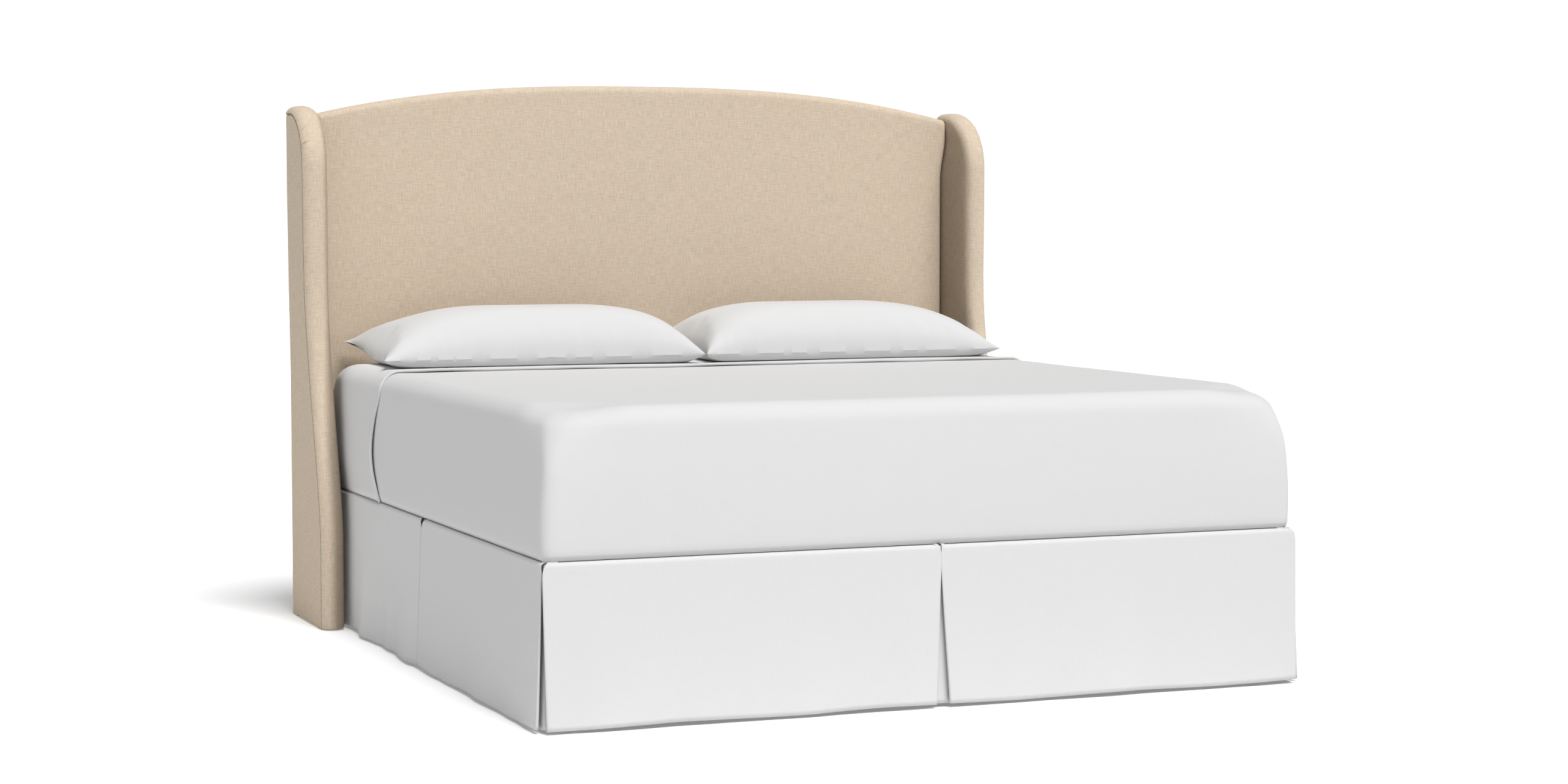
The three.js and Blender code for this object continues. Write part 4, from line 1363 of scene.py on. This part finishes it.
class BED_OT_skirt(bpy.types.Operator):
    """Make the skirt's deck, panels and the cloth behind its pleats"""

    bl_idname = "bed.skirt"
    bl_label = "Bed skirt"

    def execute(self, context):
        settings = context.scene.bed_skirt
        self.make_panels(context, settings)
        self.make_inserts(context, settings)
        self.make_deck()
        return {"FINISHED"}

    def declare(self, piece, node, cut, slot, held="hung"):
        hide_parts(node)
        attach(piece, "root")

    def measures(self, settings):
        """The lines that the panels share: the side pleat, the corner, the flares."""
        middle = (low("skirt_insert_side_left").y + high("skirt_insert_side_left").y) / 2
        foot_out = BED_FOOT - settings.stand_off
        flare_foot = foot_out - low("skirt_foot_left").y
        side_hem = high("skirt_side_foot_right").x - BED_SIDE - settings.stand_off
        wing_hem = high("skirt_side_head_right").x - BED_SIDE - settings.stand_off
        return middle, foot_out, flare_foot, side_hem, wing_hem

    def make_panels(self, context, settings):
        middle, foot_out, flare_foot, side_hem, wing_hem = self.measures(settings)
        corner = BED_SIDE + settings.stand_off
        head = high("skirt_deck").y
        pleat, set_back, centre_open, corner_open = 0.0070, 0.0130, 0.0195, 0.0062
        centre_round, corner_round = 0.0035, 0.0150
        for name, sign in SIDES:
            opens, rounds = (corner_open, centre_open), (corner_round, centre_round)
            if sign > 0:
                opens, rounds = opens[::-1], rounds[::-1]
            foot = SkirtPanel(settings, corner - 0.0007 - sign * pleat, (flare_foot, flare_foot),
                              opens, rounds, 0.0036, 1.3 * sign)
            start = -corner + 0.0005 if sign < 0 else pleat + 0.0002
            surface = foot.surface(
                lambda s, o, z, start=start: Vector((start + s, BED_FOOT - o, z)))
            self.add(context, surface, f"skirt_front_{name}", foot, f"skirt_foot_{name}",
                     SKIRT_CENTRE)
            side = SkirtPanel(settings, middle - foot_out - set_back - 0.0002,
                              (side_hem, side_hem), (-0.0060, 0.0020), (0.0040, 0.0300),
                              0.0034, 2.2 + sign, gap=0.0022)
            surface = side.surface(
                lambda s, o, z, sign=sign: Vector((sign * (BED_SIDE + o),
                                                   foot_out + set_back + s, z)))
            self.add(context, surface, f"skirt_side_front_{name}", side,
                     f"skirt_side_foot_{name}", (0, middle, 0.2))
            rear = SkirtPanel(settings, head - middle - 0.0002,
                              (side_hem - 0.001, wing_hem - 0.008), (0.0030, 0.0),
                              (0.0160, 0.0), 0.0095, 0.4 + 0.7 * sign, gap=0.0052)
            surface = rear.surface(
                lambda s, o, z, sign=sign: Vector((sign * (BED_SIDE + o), middle + 0.0002 + s, z)))
            self.add(context, surface, f"skirt_side_rear_{name}", rear,
                     f"skirt_side_head_{name}", (0, middle, 0.2))

    def add(self, context, surface, name, panel, node, centre):
        piece = surface.build(name, cotton(context), thickness=panel.settings.thickness,
                              outward_from=centre)
        self.declare(piece, node, panel.cut(), "skirt_cotton")

    def make_inserts(self, context, settings):
        _, _, flare_foot, side_hem, _ = self.measures(settings)
        behind = settings.insert_depth
        plan = SkirtPanel(settings, 1.0, (0, 0), (0, 0), (0, 0), 0, 0)
        profile = plan.profile(behind)
        foot_low, foot_high = low("skirt_insert_foot"), high("skirt_insert_foot")
        across = spread(foot_low.x, foot_high.x, INSERT_STEP)
        self.hang(context, "skirt_insert_foot", profile,
                  lambda out, z, fall: [Vector((x, BED_FOOT - out - 0.75 * flare_foot * fall
                                                + self.sunk(plan, z, fall), z))
                                        for x in across], foot_high.x - foot_low.x)
        for name, sign in SIDES:
            node = f"skirt_insert_side_{name}"
            along = spread(low(node).y, high(node).y, INSERT_STEP)
            self.hang(context, node, profile,
                      lambda out, z, fall, sign=sign, along=along: [
                          Vector((sign * (BED_SIDE + out - 0.004 + 0.45 * side_hem * fall), y, z))
                          for y in along], high(node).y - low(node).y)
            reach = high(f"skirt_insert_corner_{name}").x - low(f"skirt_insert_corner_{name}").x
            self.hang(context, f"skirt_insert_corner_{name}", profile,
                      lambda out, z, fall, sign=sign: self.corner_row(
                          sign, BED_SIDE + out - self.sunk(plan, z, fall) + 0.70 * side_hem * fall,
                          BED_FOOT - out + self.sunk(plan, z, fall) - 0.70 * flare_foot * fall,
                          z, reach, mix(0.026, 0.012, fall)), 2 * reach)

    def sunk(self, plan, z, fall):
        """How much deeper the cloth inside a pleat lies, most of all where the pleat opens."""
        return 0.0085 * smooth((plan.top - z) / 0.03) * (1 - 0.6 * fall)

    def corner_row(self, sign, x, y, z, reach, radius):
        """A row of the cloth that wraps the corner behind the corner pleat."""
        row = [Vector((sign * (x - mix(reach, radius, k / 7)), y, z)) for k in range(8)]
        for k in range(1, 7):
            turn = math.pi / 2 * k / 6
            row.append(Vector((sign * (x - radius * (1 - math.sin(turn))),
                               y + radius * (1 - math.cos(turn)), z)))
        return row + [Vector((sign * x, y + mix(radius, reach, k / 7), z)) for k in range(1, 8)]

    def hang(self, context, node, profile, row_at, width):
        """Makes the cloth behind a pleat from a row of points for each line of the profile."""
        rows = [row_at(out, z, fall) for out, z, fall in profile]
        cloth = [[(INSERT_STEP * i, -z) for i in range(len(rows[0]))] for _, z, _ in profile]
        piece = grid(rows, cloth).build(f"{node}_cloth", cotton(context), thickness=0.0014,
                                        outward_from=SKIRT_CENTRE)
        fall = profile[0][1] - profile[-1][1]
        self.declare(piece, node, (width, fall + 0.012), "skirt_cotton")

    def make_deck(self):
        inset, spacing, sink, wrinkle = 0.0315, 0.03, 0.0001, 0.0002
        edge, front, back = BED_SIDE - inset, BED_FOOT + inset, high("skirt_deck").y
        xs, ys = spread(-edge, edge, spacing), spread(front, back, spacing)
        rows = [[Vector((x, y, DECK_TOP - sink - wrinkle * (1 + ripple((x, y, 0), 0.2))))
                 for x in xs] for y in ys]
        surface = grid(rows, [[(x, y) for x in xs] for y in ys])
        lining = woven_material(
            "skirt lining", (0.76, 0.75, 0.72), (0.68, 0.67, 0.64), pitch=0.0014, slub=0.5,
            roughness=0.9, relief=0.0002, sheen=0.05)
        piece = surface.build("skirt_platform", lining, thickness=0.0008,
                              outward_from=(0, 0, 0))
        self.declare(piece, "skirt_deck", (2 * edge, back - front), "skirt_lining", held="laid")


# ------------------------------------------------------------------ foundation


class BED_OT_foundation(bpy.types.Operator):
    """Make the two covered halves of the foundation"""

    bl_idname = "bed.foundation"
    bl_label = "Foundation"

    def execute(self, context):
        ticking = woven_material(
            "foundation ticking", (0.70, 0.69, 0.66), (0.60, 0.59, 0.56), pitch=0.0018, slub=0.8,
            roughness=0.9, relief=0.0003, sheen=0.05)
        for name, _ in SIDES:
            node = f"foundation_{name}"
            box_low, box_high = low(node), high(node)
            deselect()
            bpy.ops.mesh.primitive_cube_add(
                size=1, location=(box_low + box_high) / 2, scale=box_high - box_low)
            box = context.active_object
            box.name = f"{node}_box"
            bpy.ops.object.transform_apply(location=True, rotation=True, scale=True)
            bpy.ops.object.mode_set(mode="EDIT")
            bpy.ops.mesh.select_all(action="SELECT")
            bpy.ops.mesh.bevel(offset=0.012, segments=4, affect="EDGES")
            bpy.ops.mesh.select_all(action="SELECT")
            bpy.ops.uv.cube_project(cube_size=1.0, correct_aspect=False, scale_to_bounds=False)
            bpy.ops.object.mode_set(mode="OBJECT")
            box.data.uv_layers[0].name = CLOTH_UV
            box.data.materials.append(ticking)
            bpy.ops.object.shade_smooth_by_angle(angle=math.radians(30))
            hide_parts(node)
            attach(box, "root")
        return {"FINISHED"}


# ------------------------------------------------------------------ back cover


class BED_OT_back_cover(bpy.types.Operator):
    """Make the dust cover over the headboard's back"""

    bl_idname = "bed.back_cover"
    bl_label = "Back cover"

    def execute(self, context):
        box_low, box_high = low("headboard_back_cover"), high("headboard_back_cover")
        rows, cloth = [], []
        bottom, side = box_low.z, box_high.x
        below_arch, slack_depth, slack_size, edge_share = 0.015, 0.0012, 0.16, 0.05
        shoulder = low("wing_board_right").x - 0.025
        shares = spread(0, 1, 0.016)
        for x in spread(-side, side, 0.02):
            top = arch_top(min(abs(x), shoulder)) - below_arch
            row = []
            for t in shares:
                z = mix(bottom, top, t)
                slack = slack_depth * ripple((x, 0, z), slack_size)
                slack *= smooth(min(t, 1 - t) / edge_share)
                row.append(Vector((x, box_high.y - slack_depth + slack, z)))
            rows.append(row)
            cloth.append([(x, p.z) for p in row])
        cover = woven_material(
            "dust cover", (0.035, 0.032, 0.030), (0.022, 0.020, 0.019), pitch=0.0030, slub=1.2,
            roughness=0.95, relief=0.0002, sheen=0.0)
        piece = grid(rows, cloth).build("headboard_dust_cover", cover, thickness=0.0008,
                                        outward_from=(0, 0, 0.8))
        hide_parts("headboard_back_cover")
        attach(piece, "root")
        return {"FINISHED"}


# ------------------------------------------------------------------ finishes of the frame


class BED_OT_finishes(bpy.types.Operator):
    """Give the timber, steel and plastic parts their finishes"""

    bl_idname = "bed.finishes"
    bl_label = "Frame finishes"

    def execute(self, context):
        even = (1, 1, 1)
        timber = plain_object_material(
            "planed pine", (0.62, 0.44, 0.25), (0.42, 0.27, 0.13), roughness=0.62, scale=9.0,
            stretch=(1, 14, 0.8), relief=0.0004)
        plywood = plain_object_material(
            "sanded plywood", (0.55, 0.39, 0.23), (0.40, 0.26, 0.14), roughness=0.66, scale=7.0,
            stretch=(0.7, 20, 5), relief=0.0003)
        steel = plain_object_material(
            "brown powder coat", (0.055, 0.045, 0.040), (0.030, 0.026, 0.024), roughness=0.46,
            scale=260.0, stretch=even, relief=0.00008, metallic=0.2, coat=0.15)
        zinc = plain_object_material(
            "zinc plate", (0.62, 0.63, 0.64), (0.48, 0.49, 0.50), roughness=0.32, scale=90.0,
            stretch=even, relief=0.00003, metallic=1.0)
        plastic = plain_object_material(
            "black moulded plastic", (0.020, 0.020, 0.021), (0.012, 0.012, 0.013), roughness=0.5,
            scale=400.0, stretch=even, relief=0.00004)
        by_slot = {"timber": timber, "plywood": plywood, "frame_steel": steel,
                   "bolt_zinc": zinc, "glide_plastic": plastic}
        for subpart in frame["record"]["subparts"]:
            finish = by_slot.get(subpart["material_slot"])
            obj = bpy.data.objects.get(subpart["node"])
            if finish and obj:
                obj.data.materials.clear()
                obj.data.materials.append(finish)
        return {"FINISHED"}


# ------------------------------------------------------------------ stage

SENSOR_WIDTH = 36
VIEW_DISTANCE = 100
FLOOR_SIZE = 60
SKY_SEEN = 1.1


class BED_OT_stage(bpy.types.Operator):
    """Make the floor, the studio light and the camera"""

    bl_idname = "bed.stage"
    bl_label = "Stage"

    def execute(self, context):
        settings = context.scene.bed_stage
        self.make_camera(context, settings)
        self.make_floor(settings)
        self.make_lights(context, settings)
        return {"FINISHED"}

    def make_camera(self, context, settings):
        data = bpy.data.cameras.new("camera")
        data.sensor_width = SENSOR_WIDTH
        data.lens = settings.camera_lens
        data.clip_end = VIEW_DISTANCE
        camera = bpy.data.objects.new("camera", data)
        camera.location = settings.camera_place
        camera.rotation_euler = (
            math.pi / 2 - settings.camera_pitch, 0, -settings.camera_yaw)
        context.scene.collection.objects.link(camera)
        context.scene.camera = camera

    def make_floor(self, settings):
        """Makes the white floor, which is brighter to the camera than to the bed."""
        deselect()
        bpy.ops.mesh.primitive_plane_add(size=FLOOR_SIZE, location=(0, 0, FLOOR))
        floor = bpy.context.active_object
        floor.name = "studio_floor"
        material, tree, shader = new_material("studio floor")
        shader.inputs["Base Color"].default_value = (0.97, 0.97, 0.97, 1)
        shader.inputs["Roughness"].default_value = 1.0
        shader.inputs["Specular IOR Level"].default_value = 0.0
        shader.inputs["Emission Color"].default_value = (1, 1, 1, 1)
        seen = tree.nodes.new("ShaderNodeLightPath")
        glow = map_range(tree, seen.outputs["Is Camera Ray"], 0, 1, settings.floor_glow,
                         settings.floor_seen)
        link(tree, glow, shader.inputs["Emission Strength"])
        floor.data.materials.append(material)

    def make_lights(self, context, settings):
        """Makes the white surroundings and the two soft lamps, each shining from its direction."""
        world = bpy.data.worlds.new("studio")
        world.use_nodes = True
        tree = world.node_tree
        background = tree.nodes["Background"]
        background.inputs["Color"].default_value = (1, 1, 1, 1)
        seen = tree.nodes.new("ShaderNodeLightPath")
        strength = tree.nodes.new("ShaderNodeMapRange")
        strength.inputs["To Min"].default_value = settings.fill
        strength.inputs["To Max"].default_value = SKY_SEEN
        link(tree, seen.outputs["Is Camera Ray"], strength.inputs["Value"])
        link(tree, strength.outputs["Result"], background.inputs["Strength"])
        context.scene.world = world
        context.scene.view_settings.view_transform = "Standard"
        for name, power, spread_angle, toward in (
                ("key", settings.key, 32, (0.10, -0.47, 0.87)),
                ("side_fill", settings.side_fill, 60, (-0.85, 0.35, 0.40))):
            data = bpy.data.lights.new(name, "SUN")
            data.energy = power
            data.angle = math.radians(spread_angle)
            lamp = bpy.data.objects.new(name, data)
            lamp.rotation_euler = Vector(toward).to_track_quat("Z", "Y").to_euler()
            context.scene.collection.objects.link(lamp)


# ------------------------------------------------------------------ panel and registration

OPERATORS = (
    BED_OT_stage, BED_OT_finishes, BED_OT_headboard, BED_OT_wings, BED_OT_back_cover,
    BED_OT_foundation, BED_OT_skirt, BED_OT_bedding, BED_OT_pillows,
)
SETTINGS = (
    ("bed_headboard", BED_PG_headboard), ("bed_bedding", BED_PG_bedding),
    ("bed_pillows", BED_PG_pillows), ("bed_skirt", BED_PG_skirt), ("bed_stage", BED_PG_stage),
)


class BED_PT_panel(bpy.types.Panel):
    """Lists the steps that dress the bed"""

    bl_idname = "BED_PT_panel"
    bl_label = "Bed"
    bl_space_type = "VIEW_3D"
    bl_region_type = "UI"
    bl_category = "Bed"

    def draw(self, context):
        for operator in OPERATORS:
            self.layout.operator(operator.bl_idname)
        for name, _ in SETTINGS:
            group = getattr(context.scene, name)
            box = self.layout.box()
            for key in group.__annotations__:
                box.prop(group, key)


def register():
    for name, group in SETTINGS:
        bpy.utils.register_class(group)
        setattr(bpy.types.Scene, name, PointerProperty(type=group))
    for operator in OPERATORS:
        bpy.utils.register_class(operator)
    bpy.utils.register_class(BED_PT_panel)


def unregister():
    bpy.utils.unregister_class(BED_PT_panel)
    for operator in reversed(OPERATORS):
        bpy.utils.unregister_class(operator)
    for name, group in reversed(SETTINGS):
        delattr(bpy.types.Scene, name)
        bpy.utils.unregister_class(group)


def main():
    register()
    for operator in OPERATORS:
        family, step = operator.bl_idname.split(".")
        getattr(getattr(bpy.ops, family), step)()
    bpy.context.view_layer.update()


if __name__ == "__main__":
    main()
